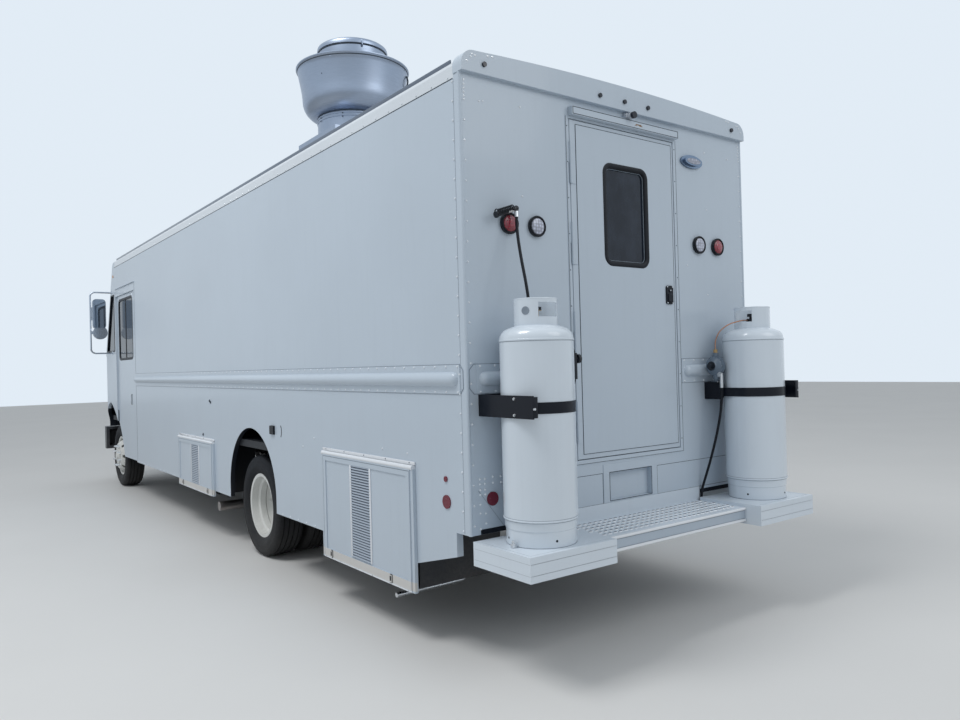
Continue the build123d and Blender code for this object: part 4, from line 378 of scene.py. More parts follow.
# Near black: painted shade under the body and inside its arches and doors.
UNDERSIDE_SHADE = (0.010, 0.013, 0.020)
FOOT_RAIL = (0.60, 0.59, 0.57)
EVEN = (1.0, 1.0, 1.0)


def sky_shaded_paint(name, *patches):
    """The body's glossy white, darker and bluer than the steps' white: painted shade and sky light."""
    painted(name, SKY_SHADED_WHITE, 0.28, 0.2, patches=patches, specular=0.3)


def foot_rail(foot):
    """The flap's bare foot rail, between its latches and its bottom lip, as a patch."""
    return FOOT_RAIL, (((X, 1.19, 1.23), (Z, foot + 0.010, foot + 0.060)),)


def dark_paint(name, colour, roughness, coat, dust):
    painted(name, colour, roughness, coat, dust=dust, specular=0.2)


def line_paint(name, colour, roughness):
    """The tone of a seam or a stain, and the painted shade along a fold, in a gap and in a hole."""
    grained(name, colour, roughness, 60.0, 0.0002)


sky_shaded_paint("body_white")
# Patches of near-black painted shade inside the cab doors, the wheel arches, the walls' feet and the cowl.
sky_shaded_paint("door_paint", (UNDERSIDE_SHADE, (DOOR_INSIDE_SHADE,)))
sky_shaded_paint("wall_paint", (UNDERSIDE_SHADE, (WHEEL_ARCH_SHADE, WALL_FOOT_SHADE)))
sky_shaded_paint("cowl_paint", (UNDERSIDE_SHADE, (COWL_INSIDE_SHADE,)))
sky_shaded_paint("generator_paint", foot_rail(0.283))
sky_shaded_paint("battery_paint", foot_rail(0.388))
painted("roof_white", (0.60, 0.64, 0.68), 0.5, 0.1, dust_top=9.0, dust=0.2, streaks=0.2)
# A dark blue-grey band along the roof rails' tops: painted shade.
painted("rail_white", (0.66, 0.71, 0.76), 0.28, 0.4, dust=0.0, patches=((RAIL_TOP_SHADE, (((Z, 3.1185, 3.14),),)),))
# The riser in a darker blue-grey: painted shade between the step's nose and lip.
painted("step_white", WHITE, 0.36, 0.25, dust=0.06, patches=((RISER_SHADE, (STEP_RISER,)),))
painted("bumper_paint", (0.035, 0.040, 0.050), 0.4, 0.1, dust=0.4, specular=0.3)
painted("wheel_white", (0.70, 0.71, 0.69), 0.34, 0.2, dust_top=1.3, dust=0.30, streaks=0.25,
        dust_colour=(0.34, 0.32, 0.29))
painted("cylinder_paint", WHITE, 0.26, 0.5, dust=0.05)
# Rivets, bars, step nosings, ledges and tread grips in a white brighter than the body's: painted highlight.
painted("rivet_paint", (0.74, 0.79, 0.84), 0.2, 0.6, dust=0.0)
painted("bar_paint", (0.76, 0.79, 0.83), 0.24, 0.5, dust=0.05)
# The same painted shade, for the dark strips on the roof rails.
painted("rail_shade", RAIL_TOP_SHADE, 0.3, 0.2, dust=0.0)
# Louvre slats darker and bluer than the flap's white: painted shade.
painted("slat_grey", (0.36, 0.42, 0.50), 0.3, 0.2, dust=0.05)
painted("bracket_black", (0.005, 0.007, 0.013), 0.34, 0.08, dust=0.0, streaks=0.0, specular=0.2)
dark_paint("frame_black", (0.012, 0.014, 0.019), 0.55, 0.0, 0.2)
dark_paint("axle_black", (0.014, 0.016, 0.020), 0.5, 0.0, 0.25)
dark_paint("spring_steel", (0.030, 0.028, 0.028), 0.6, 0.0, 0.3)
dark_paint("tank_black", (0.014, 0.016, 0.020), 0.45, 0.1, 0.2)
# Lockers and floor plate near black under the body: painted shade.
painted("locker_grey", (0.020, 0.024, 0.032), 0.5, 0.0, dust=0.25, specular=0.2)
painted("floor_plate", (0.022, 0.025, 0.030), 0.5, 0.0, dust=0.2, specular=0.2)
brushed("exhaust_steel", (0.36, 0.34, 0.33), 0.32, stain=(0.14, 0.10, 0.08), stains=0.5)
brushed("trim_aluminium", (0.62, 0.64, 0.66), 0.32, EVEN)
brushed("spun_aluminium", (0.36, 0.42, 0.52), 0.30, (1.0, 1.0, 70.0), stains=0.12)
brushed("mirror_chrome", (0.55, 0.60, 0.67), 0.08, stains=0.05)
brushed("bright_metal", (0.74, 0.76, 0.78), 0.2, EVEN, stains=0.08)
grained("fitting_brass", (0.014, 0.017, 0.024), 0.36, 90.0, specular=0.4,
        patches=(((0.125, 0.165, 0.215), REGULATOR), ((0.012, 0.016, 0.024), VENT),
                 ((0.42, 0.29, 0.13), BRASS_NUTS)),
        metal=BARE_FITTINGS, metal_colour=(0.66, 0.67, 0.68))
grained("hose_rubber", (0.006, 0.008, 0.013), 0.42, 220.0, 0.0004, metal=COPPER_RUN,
        metal_colour=(0.46, 0.23, 0.14))
grained("tyre_rubber", (0.010, 0.012, 0.016), 0.7, 90.0, 0.0008, dust=0.12)
grained("engine_grey", (0.16, 0.16, 0.165), 0.6, 70.0, 0.001, dust=0.3)
grained("dash_plastic", (0.045, 0.045, 0.05), 0.55)
grained("seat_vinyl", (0.035, 0.037, 0.042), 0.45, 120.0)
grained("gasket_rubber", (0.005, 0.007, 0.012), 0.42, 160.0, 0.0003)
grained("latch_black", (0.008, 0.010, 0.016), 0.32, 220.0, 0.0002)
grained("camera_shell", (0.52, 0.56, 0.62), 0.3, 120.0, 0.0002, specular=0.4,
        patches=(((0.010, 0.012, 0.020), CAMERA_LENS),))
grained("lamp_lens", (0.16, 0.012, 0.030), 0.2, 60.0, 0.0002, metal=PORCH_SHELL,
        metal_colour=(0.20, 0.26, 0.35), specular=0.5,
        patches=(((0.006, 0.009, 0.016), TAIL_GROMMETS), ((0.003, 0.005, 0.014), CAP_BULLETS),
                 ((0.60, 0.24, 0.03), BROW_LAMPS), ((0.62, 0.65, 0.68), HEAD_LAMPS)))
line_paint("seam_dark", (0.055, 0.07, 0.09), 0.6)
# The fold and void tones are painted shade: along folds and flanges, in gaps and in holes.
line_paint("fold_shade", (0.27, 0.32, 0.38), 0.5)
line_paint("faint_fold", (0.44, 0.49, 0.54), 0.5)
line_paint("void_dark", (0.006, 0.009, 0.016), 0.8)
line_paint("slot_shade", (0.10, 0.13, 0.17), 0.6)
line_paint("rust_stain", (0.26, 0.14, 0.05), 0.7)
glazed("window_glass", (0.012, 0.020, 0.032), 0.40)
glazed("door_glass", (0.006, 0.011, 0.022), 0.12, 0.05, (0.06, 0.08, 0.12), 0.40, 0.4)
lensed("red_lens", (0.50, 0.040, 0.075), 0.013)
lensed("red_core", (0.62, 0.060, 0.10), 0.010)
lensed("clear_lens", (0.62, 0.66, 0.80), 0.018, 0.40)
silvered("mirror_glass")

# CAD nodes whose finish isn't the one named after their material slot
OWN_FINISH = {
    "rear_door_glass": "door_glass", "rear_step": "step_white", "left_wall": "wall_paint",
    "right_wall": "wall_paint", "front_cowl": "cowl_paint", "generator_door": "generator_paint",
    "battery_door": "battery_paint", "rear_camera": "camera_shell", "left_cab_door": "door_paint",
    "right_cab_door": "door_paint", "generator_exhaust": "bright_metal",
}
for subpart in record["subparts"]:
    label = subpart["node"]
    materials = nodes[label].data.materials
    materials.clear()
    materials.append(FINISHES[OWN_FINISH.get(label, subpart["material_slot"])])

# Mesh building blocks


def keep(name, mesh, finish, body="body"):
    """Makes a piece of a finished mesh: its finish, or several by number and its body."""
    mesh.materials.clear()
    for label in (finish,) if isinstance(finish, str) else finish:
        mesh.materials.append(FINISHES[label])
    piece = placed(name, mesh)
    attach(piece, body)
    return piece


def close_up(name, form, sharp=35.0):
    """A mesh of the form, with its faces outwards, smooth but for edges sharper than an angle."""
    bmesh.ops.remove_doubles(form, verts=form.verts, dist=1e-5)
    bmesh.ops.recalc_face_normals(form, faces=form.faces)
    for face in form.faces:
        face.smooth = True
    for edge in form.edges:
        edge.smooth = len(edge.link_faces) == 2 and edge.calc_face_angle(0.0) < math.radians(sharp)
    mesh = bpy.data.meshes.new(name)
    form.to_mesh(mesh)
    form.free()
    return mesh


def mould(name, form, finish, body="body", sharp=35.0):
    """Makes a piece of a form."""
    return keep(name, close_up(name, form, sharp), finish, body)


def add_rings(form, rings, closed_path=False, finish=0):
    """Skins rings of points, each joined round, one to the next, and caps the ends of an open path."""
    rows = [[form.verts.new(point) for point in ring] for ring in rings]
    spans = list(zip(rows, rows[1:]))
    if closed_path:
        spans.append((rows[-1], rows[0]))
    for near, far in spans:
        for index in range(len(near)):
            after = (index + 1) % len(near)
            form.faces.new((near[index], near[after], far[after], far[index])).material_index = finish
    if not closed_path:
        form.faces.new(rows[0]).material_index = finish
        form.faces.new(reversed(rows[-1])).material_index = finish


def add_block(form, x_span, y_span, z_span, ease=0.0015):
    """A block with its edges eased."""
    part = bmesh.new()
    bmesh.ops.create_cube(part, size=1.0)
    for vert in part.verts:
        vert.co = Vector([low + (high - low) * (value + 0.5) for value, (low, high)
                          in zip(vert.co, (sorted(x_span), sorted(y_span), sorted(z_span)))])
    if ease:
        bmesh.ops.bevel(part, geom=part.edges[:], offset=ease, segments=2, affect="EDGES", profile=0.5)
    scratch = bpy.data.meshes.new("scratch")
    part.to_mesh(scratch)
    part.free()
    form.from_mesh(scratch)
    bpy.data.meshes.remove(scratch)


def side_way(way):
    """A direction square to a way."""
    return way.cross(Vector(UPWARD) if abs(way.z) < 0.9 else Vector(LEFTWARD)).normalized()


def spokes(way, sides, first=None):
    """Unit vectors evenly round a way."""
    way = Vector(way)
    first = Vector(first or side_way(way))
    second = way.cross(first).normalized()
    turns = [math.tau * step / sides for step in range(sides)]
    return [first * math.cos(turn) + second * math.sin(turn) for turn in turns]


def around(degrees):
    """A level unit vector, turned from the vehicle's left towards its rear."""
    return Vector((math.cos(math.radians(degrees)), math.sin(math.radians(degrees)), 0))


def off_line(x, y, z, degrees=0, radius=0.0):
    """A point at a turn and a radius from an upright line."""
    return Vector((x, y, z)) + around(degrees) * radius


def add_turned(form, profile, foot, way, sides=32, finish=0):
    """A turned shape: (height along the way, radius) points, from the foot; a radius of 0 closes it."""
    way = Vector(way)
    add_rings(form, [[Vector(foot) + way * height + out * max(radius, 1e-5) for out in spokes(way, sides)]
                     for height, radius in profile], finish=finish)


def add_revolved(form, outline, centre, way, sides=96, first=None):
    """A closed outline of (radius, height along the way) points, turned about the way through a centre."""
    way = Vector(way)
    add_rings(form, [[Vector(centre) + out * radius + way * height for radius, height in outline]
                     for out in spokes(way, sides, first)], closed_path=True)


def add_hoop(form, centre, way, radius, thick, sides=64, round_sides=10, squash=1.0):
    """A ring of round section about a way."""
    turns = [math.tau * part / round_sides for part in range(round_sides)]
    section = [(radius + thick * math.cos(turn), thick * squash * math.sin(turn)) for turn in turns]
    add_revolved(form, section, centre, way, sides)


def add_rod(form, points, radius, sides=12):
    """A round rod that follows points."""
    points = [Vector(point) for point in points]
    first = side_way((points[1] - points[0]).normalized())
    rings = []
    for before, point, after in zip(points[:1] + points, points, points[1:] + points[-1:]):
        way = (after - before).normalized()
        first = (first - way * first.dot(way)).normalized()
        rings.append([point + radius * out for out in spokes(way, sides, first)])
    add_rings(form, rings)


def rounded_loop(u_span, v_span, radius, steps=8):
    """Points and outward ways of a rectangle with rounded corners, anticlockwise."""
    u_low, u_high = sorted(u_span)
    v_low, v_high = sorted(v_span)
    loop = []
    for u_mid, v_mid, start in ((u_high - radius, v_high - radius, 0), (u_low + radius, v_high - radius, 90),
                                (u_low + radius, v_low + radius, 180), (u_high - radius, v_low + radius, 270)):
        for step in range(steps + 1):
            out = around(start + 90 * step / steps)
            loop.append(((u_mid + radius * out.x, v_mid + radius * out.y), out))
    return loop


def centred_loop(u, v, half_wide, half_high, radius, steps=4):
    """A rounded rectangle about a middle."""
    return rounded_loop((u - half_wide, u + half_wide), (v - half_high, v + half_high), radius, steps)


def on_rear(u, v, out):
    return Vector((u, REAR_Y + out, v))


def half_rear(side):
    return lambda u, v, out: on_rear(side * u, v, out)


def on_side(side, base=HALF_WIDTH):
    """A placer for a side wall: u is the distance ahead of the rear wall and v the height."""
    return lambda u, v, out: Vector((side * (base + out), ahead(u), v))


def add_gasket(form, place, loop, band):
    """A moulded band round a loop; the band is (offset across, height) points, its ends on the panel."""
    add_rings(form, [[place(u + out[0] * across, v + out[1] * across, high) for across, high in band]
                     for (u, v), out in loop], closed_path=True)


def add_plate(form, place, loop, low, high, ease=0.0):
    """A flat plate of a loop's outline, with its upper edge eased."""
    levels = ((0.0, low), (0.0, high - ease), (-ease, high)) if ease else ((0.0, low), (0.0, high))
    add_rings(form, [[place(u + out[0] * across, v + out[1] * across, level) for (u, v), out in loop]
                     for across, level in levels])


def add_lines(form, place, path, wide, low, high):
    """Thin straight strips on a wall, from each (u, v) place of a path to the next."""
    for start, end in zip(path, path[1:]):
        start, end = Vector(start), Vector(end)
        across = (end - start).orthogonal().normalized() * wide / 2
        corners = (start + across, end + across, end - across, start - across)
        add_rings(form, [[place(*corner, level) for corner in corners] for level in (low, high)])


def closed(path):
    return (*path, path[0])


def rectangle(u_span, v_span):
    """The closed path round a rectangle."""
    (left, right), (foot, head) = u_span, v_span
    return closed(((left, foot), (right, foot), (right, head), (left, head)))


def make_lines(name, finish, runs, body="body"):
    """Makes a piece of thin strips, from runs of (placer, path, width, low, high)."""
    form = bmesh.new()
    for run in runs:
        add_lines(form, *run)
    mould(name, form, finish, body=body)


def row(start, end, pitch):
    """Evenly spaced points from start to end, near a pitch."""
    start, end = Vector(start), Vector(end)
    count = max(1, round((end - start).length / pitch))
    return [start.lerp(end, step / count) for step in range(count + 1)]


# Geometry node trees for what repeats
GEOMETRY = ("Geometry", "Geometry")


def faced(tree):
    """A rotation that turns Z to the facing attribute and X to the along attribute."""
    turns = {}
    for attribute, axis, pivot in (("facing", "Z", "AUTO"), ("along", "X", "Z")):
        named = add_node(tree, "GeometryNodeInputNamedAttribute", {"Name": attribute}, data_type="FLOAT_VECTOR")
        align = add_node(tree, "FunctionNodeAlignRotationToVector", {"Vector": named.outputs[0], **turns},
                         axis=axis, pivot_axis=pivot)
        turns = {"Rotation": align.outputs[0]}
    return turns["Rotation"]


def end_tree(tree, given, out, mesh, **placing):
    """Puts a mesh at the given points, makes the instances real and sets their material."""
    spots = add_node(tree, "GeometryNodeInstanceOnPoints", {
        "Points": given.outputs["Geometry"], "Instance": mesh, **placing})
    real = add_node(tree, "GeometryNodeRealizeInstances", {0: spots.outputs[0]})
    coat = add_node(tree, "GeometryNodeSetMaterial", {
        "Geometry": real.outputs[0], "Material": given.outputs["Finish"]})
    feed(tree, out, {0: coat.outputs[0]})
    return tree


def make_heads_tree():
    """Round or oval heads at seed points: a frustum, Width across and Rise high, Stretch times as long."""
    tree, given, out = new_tree("heads", "Geometry", (
        (*GEOMETRY, None), ("Width", "Float", 0.01), ("Rise", "Float", 0.003), ("Crown", "Float", 0.55),
        ("Stretch", "Float", 1.0), ("Sides", "Int", 8), ("Finish", "Material", None)), (GEOMETRY,))
    foot = maths(tree, "MULTIPLY", given.outputs["Width"], 0.5)
    head = add_node(tree, "GeometryNodeMeshCone", {
        "Vertices": given.outputs["Sides"], "Radius Bottom": foot,
        "Radius Top": maths(tree, "MULTIPLY", foot, given.outputs["Crown"]), "Depth": given.outputs["Rise"]})
    size = add_node(tree, "ShaderNodeCombineXYZ", {0: given.outputs["Stretch"], 1: 1.0, 2: 1.0})
    return end_tree(tree, given, out, head.outputs["Mesh"], Rotation=faced(tree), Scale=size.outputs[0])


def make_slats_tree():
    """Slats at seed points: a thin board, Long by Wide by Thick, tilted about its length."""
    tree, given, out = new_tree("slats", "Geometry", (
        (*GEOMETRY, None), ("Size", "Vector", (0.2, 0.01, 0.002)), ("Tilt", "Rotation", None),
        ("Finish", "Material", None)), (GEOMETRY,))
    board = add_node(tree, "GeometryNodeMeshCube", {"Size": given.outputs["Size"]})
    tilted = add_node(tree, "FunctionNodeRotateRotation", {
        "Rotation": faced(tree), "Rotate By": given.outputs["Tilt"]}, rotation_space="LOCAL")
    return end_tree(tree, given, out, board.outputs["Mesh"], Rotation=tilted.outputs[0])


HEADS = make_heads_tree()
SLATS = make_slats_tree()


def seeds(points, facing, along=None):
    """A mesh of seed points; facing and along are one way for all or one for each."""
    mesh = bpy.data.meshes.new("seeds")
    mesh.from_pydata([tuple(point) for point in points], [], [])
    for label, ways in (("facing", facing), ("along", along or LEFTWARD)):
        if isinstance(ways[0], (int, float)):
            ways = [ways] * len(points)
        attribute = mesh.attributes.new(label, "FLOAT_VECTOR", "POINT")
        attribute.data.foreach_set("vector", [value for way in ways for value in way])
    return mesh


def shown(carrier):
    """A plain mesh of an object with its modifiers applied."""
    return bpy.data.meshes.new_from_object(carrier.evaluated_get(bpy.context.evaluated_depsgraph_get()))


def grown(name, tree, seed_mesh, **values):
    """The plain mesh that a tree grows from its seeds."""
    carrier = placed(name, seed_mesh)
    modifier = carrier.modifiers.new("grow", "NODES")
    modifier.node_group = tree
    sockets = {item.name: item.identifier for item in tree.interface.items_tree if item.in_out == "INPUT"}
    for label, value in values.items():
        modifier[sockets[label]] = value
    mesh = shown(carrier)
    bpy.data.objects.remove(carrier)
    mesh.name = name
    return mesh


def add_heads(name, points, facing, finish, width, rise, crown=0.7, sides=8, stretch=1.0, along=None,
              slot="body_white", body="body"):
    """Makes a piece of small heads, such as rivets, screws and caps, that stand at points."""
    mesh = grown(name, HEADS, seeds(points, facing, along), Finish=FINISHES[finish], Width=width, Rise=rise,
                 Crown=crown, Sides=sides, Stretch=stretch)
    keep(name, mesh, finish, body)

# Rivets in a wall's own (u, v): rows of (start, end, pitch, height off the wall), and spots by that height
BELT_RIVETS = (BELT_Z - 0.066, BELT_Z + 0.066)
ROOF_RIVETS = WALL_TOP + 0.014
FLUSH = 0.0001
FLANGE = 0.003
SIDE_ROWS = (
    ((0.060, 0.70), (0.060, 3.0), 0.102, FLUSH),
    *(((0.075, v), (7.14, v), 0.105, FLANGE) for v in BELT_RIVETS),
    ((0.70, 0.452), (2.45, 0.452), 0.15, FLUSH),
    ((5.30, 0.452), (7.08, 0.452), 0.15, FLUSH),
    ((0.10, ROOF_RIVETS), (8.2, ROOF_RIVETS), 0.152, FLUSH),
)
REAR_ROWS = (
    ((1.157, 0.73), (1.157, 3.0), 0.102, 0.0),
    ((1.157, 2.915), (1.157, 2.995), 0.022, 0.0),
    *(((1.10, v), (0.52, v), 0.09, FLANGE) for v in BELT_RIVETS),
)
SIDE_SPOTS = ((FLUSH, ((1.852, 1.065), (2.041, 0.995), (0.884, 1.063), (0.597, 1.056))),)
REAR_SPOTS = (
    (0.0, ((1.117, 0.964), (1.086, 0.963), (1.034, 0.969), (0.984, 0.966), (1.118, 0.939), (1.086, 0.938),
           (1.034, 0.938), (0.981, 0.935), (1.117, 0.909), (1.086, 0.909), (1.117, 0.884), (1.086, 0.883),
           (1.118, 0.835), (1.119, 0.790), (1.119, 0.711), (1.084, 0.786), (1.084, 0.735), (0.959, 0.842),
           (0.957, 0.712))),
    (0.030, ((1.128, 3.110), (1.100, 3.122), (1.118, 3.126), (1.152, 3.085), (1.017, 3.136), (0.989, 3.138))),
)
SINGLE_RIVETS = ((1.061, 2.905), (1.038, 2.909), (0.788, 2.923), (0.787, 2.444), (-0.794, 2.529),
                 (-0.786, 2.904), (-1.031, 2.894), (-0.580, 2.150), (-0.785, 1.967))


def make_wall_rivets():
    """Rivets beside the corner posts, on the belt flanges, the lower corners and the roof cap."""
    points, ways = [], []
    for side in SIDES:
        for place, way, rows, spots in ((on_side(side), (side, 0, 0), SIDE_ROWS, SIDE_SPOTS),
                                        (half_rear(side), REARWARD, REAR_ROWS, REAR_SPOTS)):
            found = [point for start, end, pitch, out in rows
                     for point in row(place(*start, out), place(*end, out), pitch)]
            found += [place(u, v, out) for out, group in spots for u, v in group]
            points += found
            ways += [way] * len(found)
    points += [on_rear(u, v, 0.0) for u, v in SINGLE_RIVETS]
    ways += [REARWARD] * len(SINGLE_RIVETS)
    # Rivets in a brighter white than the wall: painted highlight.
    add_heads("wall_rivets", points, ways, "rivet_paint", 0.0135, 0.0048, 0.5)


make_wall_rivets()

# Panel seams, and painted shade along folds and in gaps
BELT_LOW, BELT_HIGH = BELT_Z - 0.0765, BELT_Z + 0.0765
BELT_CORNER = 0.030
SIDE_BELT = ((0.030, BELT_LOW + BELT_CORNER), (0.058, BELT_LOW), (7.130, BELT_LOW),
             (7.158, BELT_LOW + BELT_CORNER), (7.158, BELT_HIGH - BELT_CORNER), (7.130, BELT_HIGH),
             (0.058, BELT_HIGH), (0.030, BELT_HIGH - BELT_CORNER))
REAR_BELT = ((0.470, BELT_LOW), (1.140, BELT_LOW), (1.168, BELT_LOW + BELT_CORNER),
             (1.168, BELT_HIGH - BELT_CORNER), (1.140, BELT_HIGH), (0.470, BELT_HIGH))
SEAM = (0.0, 0.0006)
PLATE_SEAM = (0.0028, 0.0036)


def make_seams():
    """Fine dark lines between lapped sheets, paler lines of painted shade along folds and flanges, near-black sheets of
    painted shade in the open gaps, brighter rods of painted highlight on the step's nose and lip, and dark strips of
    painted shade on the roof rails' tops.
    """
    runs = [(on_rear, ((0.950, 0.900), (0.236, 0.900), (0.236, 0.726), (0.620, 0.726)), 0.0025, *SEAM),
            (on_rear, ((-1.134, 0.900), (-0.236, 0.900), (-0.236, 0.726), (-1.134, 0.726)), 0.0025, *SEAM),
            (on_rear, rectangle((-0.182, 0.182), (0.735, 0.901)), 0.004, *PLATE_SEAM)]
    for side in SIDES:
        place = on_side(side)
        runs += [(place, ((0.055, WALL_TOP - 0.001), (8.290, WALL_TOP - 0.001)), 0.005, 0.0, 0.0008),
                 (place, ((7.137, 0.450), (7.137, 2.690)), 0.006, *SEAM),
                 (place, ((8.252, 1.050), (8.252, 2.690)), 0.005, *SEAM)]
    make_lines("panel_seams", "seam_dark", runs)
    # Lines of painted shade under the step's nose and above its lip, then along the corner posts, folds and belt
    # flanges.
    runs = [(on_rear, ((-0.612, z), (0.612, z)), 0.003, STEP_REACH - 0.001, STEP_REACH + 0.0006)
            for z in (0.6205, 0.5735)]
    runs.append((on_rear, ((1.128, 0.905), (0.955, 0.690)), 0.0025, *SEAM))
    for side in SIDES:
        runs += [(on_side(side), ((0.0505, 0.690), (0.0505, 3.010)), 0.0025, *SEAM),
                 (on_side(side), closed(SIDE_BELT), 0.0035, 0.0, 0.0026),
                 (half_rear(side), REAR_BELT, 0.0035, 0.0, 0.0026),
                 (half_rear(side), ((1.172, 0.690), (1.172, 3.010)), 0.0030, 0.0, 0.0012)]
    make_lines("fold_lines", "fold_shade", runs)
    # Near-black sheets of painted shade in the gaps low on each side of the rear wall and in a small slot near its
    # middle.
    form = bmesh.new()
    for side in SIDES:
        add_plate(form, half_rear(side), rounded_loop((0.645, 1.120), (0.6825, 0.7080), 0.002, 2), 0.0, 0.0008)
    add_plate(form, on_rear, rounded_loop((0.158, 0.176), (0.800, 0.826), 0.006, 4), -0.0295, -0.0283)
    mould("dark_gaps", form, "void_dark")
    form = bmesh.new()
    # Rods on the step's nose and lip, in a brighter white: painted highlight.
    for z, thick in ((0.6310, 0.0088), (0.5630, 0.0092)):
        add_rod(form, [on_rear(x, z, STEP_REACH - 0.0005) for x in (-0.6155, 0.6155)], thick, 16)
    mould("step_nosings", form, "bar_paint")
    # Dark strips along the roof rails' tops: painted shade.
    form = bmesh.new()
    for side in SIDES:
        add_block(form, (side * 1.168, side * 1.1765), between(0.085, 8.150), (3.094, 3.1225), 0.002)
    mould("roof_edge_strips", form, "rail_shade")


make_seams()

# Rear door: window gasket, latch and skin edge
DOOR_SKIN = 0.0022
PANE_U = (-0.197, 0.152)
PANE_V = (2.127, 2.696)
GASKET_BAND = ((-0.012, -0.0135), (-0.011, -0.002), (-0.007, 0.002), (0.002, 0.0045), (0.012, 0.0045),
               (0.018, 0.003), (0.020, 0.0))
BEAD_BAND = ((-0.0015, -0.0138), (-0.0015, -0.0085), (0.0012, -0.0085), (0.0012, -0.0138))
LATCH_U, LATCH_V = -0.392, 1.953
LATCH_OUT = 0.0095
LOCK_V = LATCH_V + 0.028


def on_door(u, v, out):
    return on_rear(u, v, DOOR_SKIN + out)


def make_rear_door_trim():
    form = bmesh.new()
    add_gasket(form, on_door, rounded_loop(PANE_U, PANE_V, 0.045), GASKET_BAND)
    mould("door_window_gasket", form, "gasket_rubber", "rear_door")
    form = bmesh.new()
    inset = rounded_loop((PANE_U[0] + 0.014, PANE_U[1] - 0.014), (PANE_V[0] + 0.014, PANE_V[1] - 0.014), 0.033)
    add_gasket(form, on_door, inset, BEAD_BAND)
    mould("door_window_bead", form, "fold_shade", "rear_door")
    form = bmesh.new()
    add_plate(form, on_door, centred_loop(LATCH_U, LATCH_V, 0.032, 0.058, 0.014, 5), 0.0, LATCH_OUT, 0.002)
    add_plate(form, on_door, centred_loop(LATCH_U, LATCH_V - 0.019, 0.022, 0.027, 0.008), 0.009, 0.017, 0.004)
    add_turned(form, ((0, 0.011), (0.004, 0.011), (0.005, 0.009), (0.005, 0)),
               on_door(LATCH_U, LOCK_V, LATCH_OUT), REARWARD, 20)
    mould("door_latch_face", form, "latch_black", "rear_door")
    points = [on_door(LATCH_U + x, LATCH_V + z, LATCH_OUT) for x in (-0.024, 0.024) for z in (-0.050, 0.050)]
    points.append(on_door(LATCH_U, LOCK_V, LATCH_OUT + 0.005))
    add_heads("latch_screws", points, REARWARD, "bright_metal", 0.009, 0.0015, 0.8, 10, slot="mirror_chrome",
              body="rear_door")
    edge = rectangle((-0.443, 0.382), (1.024, 2.898))
    make_lines("door_skin_edge", "seam_dark", [(on_rear, edge, 0.003, 0.0, 0.0026)], "rear_door")


make_rear_door_trim()


def make_door_surround():
    """The door's piano hinge joints and screws, the box over it with its open joints, and its rust run."""
    box = (0.0345, 0.0358)
    runs = [(on_rear, ((-0.480, z), (0.430, z)), 0.0035, *box) for z in (2.945, 2.984)]
    runs += [(on_rear, ((x, 2.945), (x, 2.984)), 0.004, *box) for x in (-0.478, 0.428)]
    runs += [(on_rear, ((x, 0.969), (x, 2.935)), 0.0025, *PLATE_SEAM) for x in (-0.489, 0.457)]
    runs.append((on_rear, ((-0.487, 0.969), (0.455, 0.969)), 0.0025, *PLATE_SEAM))
    make_lines("door_surround_lines", "seam_dark", runs)
    points = [point for x in (0.449, -0.477)
              for point in row(on_rear(x, 1.05, FLANGE), on_rear(x, 2.88, FLANGE), 0.205)]
    add_heads("hinge_screws", points, REARWARD, "slot_shade", 0.008, 0.0015)
    form = bmesh.new()
    for x, z, wide, high in ((-0.115, 2.967, 0.05, 0.006), (-0.135, 2.962, 0.03, 0.004), (-0.09, 2.961, 0.02, 0.003)):
        add_plate(form, on_rear, centred_loop(x, z, wide / 2, high / 2, high * 0.49, 3), 0.0345, 0.0354)
    mould("rust_run", form, "rust_stain")


make_door_surround()

# Lamps: lenses over their grommets and in their rims
TAIL_Z = 2.288
TAIL_X = (0.888, 0.696)
TAIL_LENS = ((-0.004, 0.044), (0.001, 0.044), (0.004, 0.040), (0.0065, 0.026), (0.0075, 0))
TAIL_CORE = ((0, 0.030), (0.0078, 0.026), (0.0090, 0.018), (0.0095, 0))
HEAD_LENS = ((-0.006, 0.087), (0.002, 0.087), (0.006, 0.078), (0.010, 0.052), (0.012, 0))
HEAD_LAMP = (0.690, ahead(9.236), 1.060)
LENS_SHARP = 60.0


def make_lamp_faces():
    """The tail lamps' red and clear lenses with their grommets, and the porch lamp's lens."""
    red, clear, rubber = bmesh.new(), bmesh.new(), bmesh.new()
    for side in SIDES:
        place = half_rear(side)
        outer, inner = (place(x, TAIL_Z, 0.018) for x in TAIL_X)
        add_turned(red, TAIL_LENS, outer, REARWARD, 40)
        add_turned(red, TAIL_CORE, outer, REARWARD, 32, 1)
        add_turned(clear, TAIL_LENS, inner, REARWARD, 40)
        for x in TAIL_X:
            add_hoop(rubber, place(x, TAIL_Z, 0.017), REARWARD, 0.0515, 0.0060, 48)
    mould("red_tail_lenses", red, ("red_lens", "red_core"), sharp=LENS_SHARP)
    mould("clear_tail_lenses", clear, "clear_lens", sharp=LENS_SHARP)
    mould("lamp_grommets", rubber, "gasket_rubber")
    form = bmesh.new()
    loop = [((-0.640 + 0.068 * out.x, 2.822 + 0.019 * out.y), out) for out in map(around, range(0, 360, 9))]
    add_plate(form, on_rear, loop, 0.026, 0.0325, 0.002)
    mould("porch_lens", form, "clear_lens")


def make_head_lamps():
    """Ribbed lenses in bright rims over the head lamps."""
    rims, lenses = bmesh.new(), bmesh.new()
    x, y, z = HEAD_LAMP
    for side in SIDES:
        add_hoop(rims, (side * x, y - 0.001, z), FORWARD, 0.0925, 0.0065)
        add_turned(lenses, HEAD_LENS, (side * x, y, z), FORWARD, 48)
    mould("head_lamp_rims", rims, "bright_metal")
    mould("head_lamp_lenses", lenses, "clear_lens", sharp=LENS_SHARP)


make_lamp_faces()
make_head_lamps()


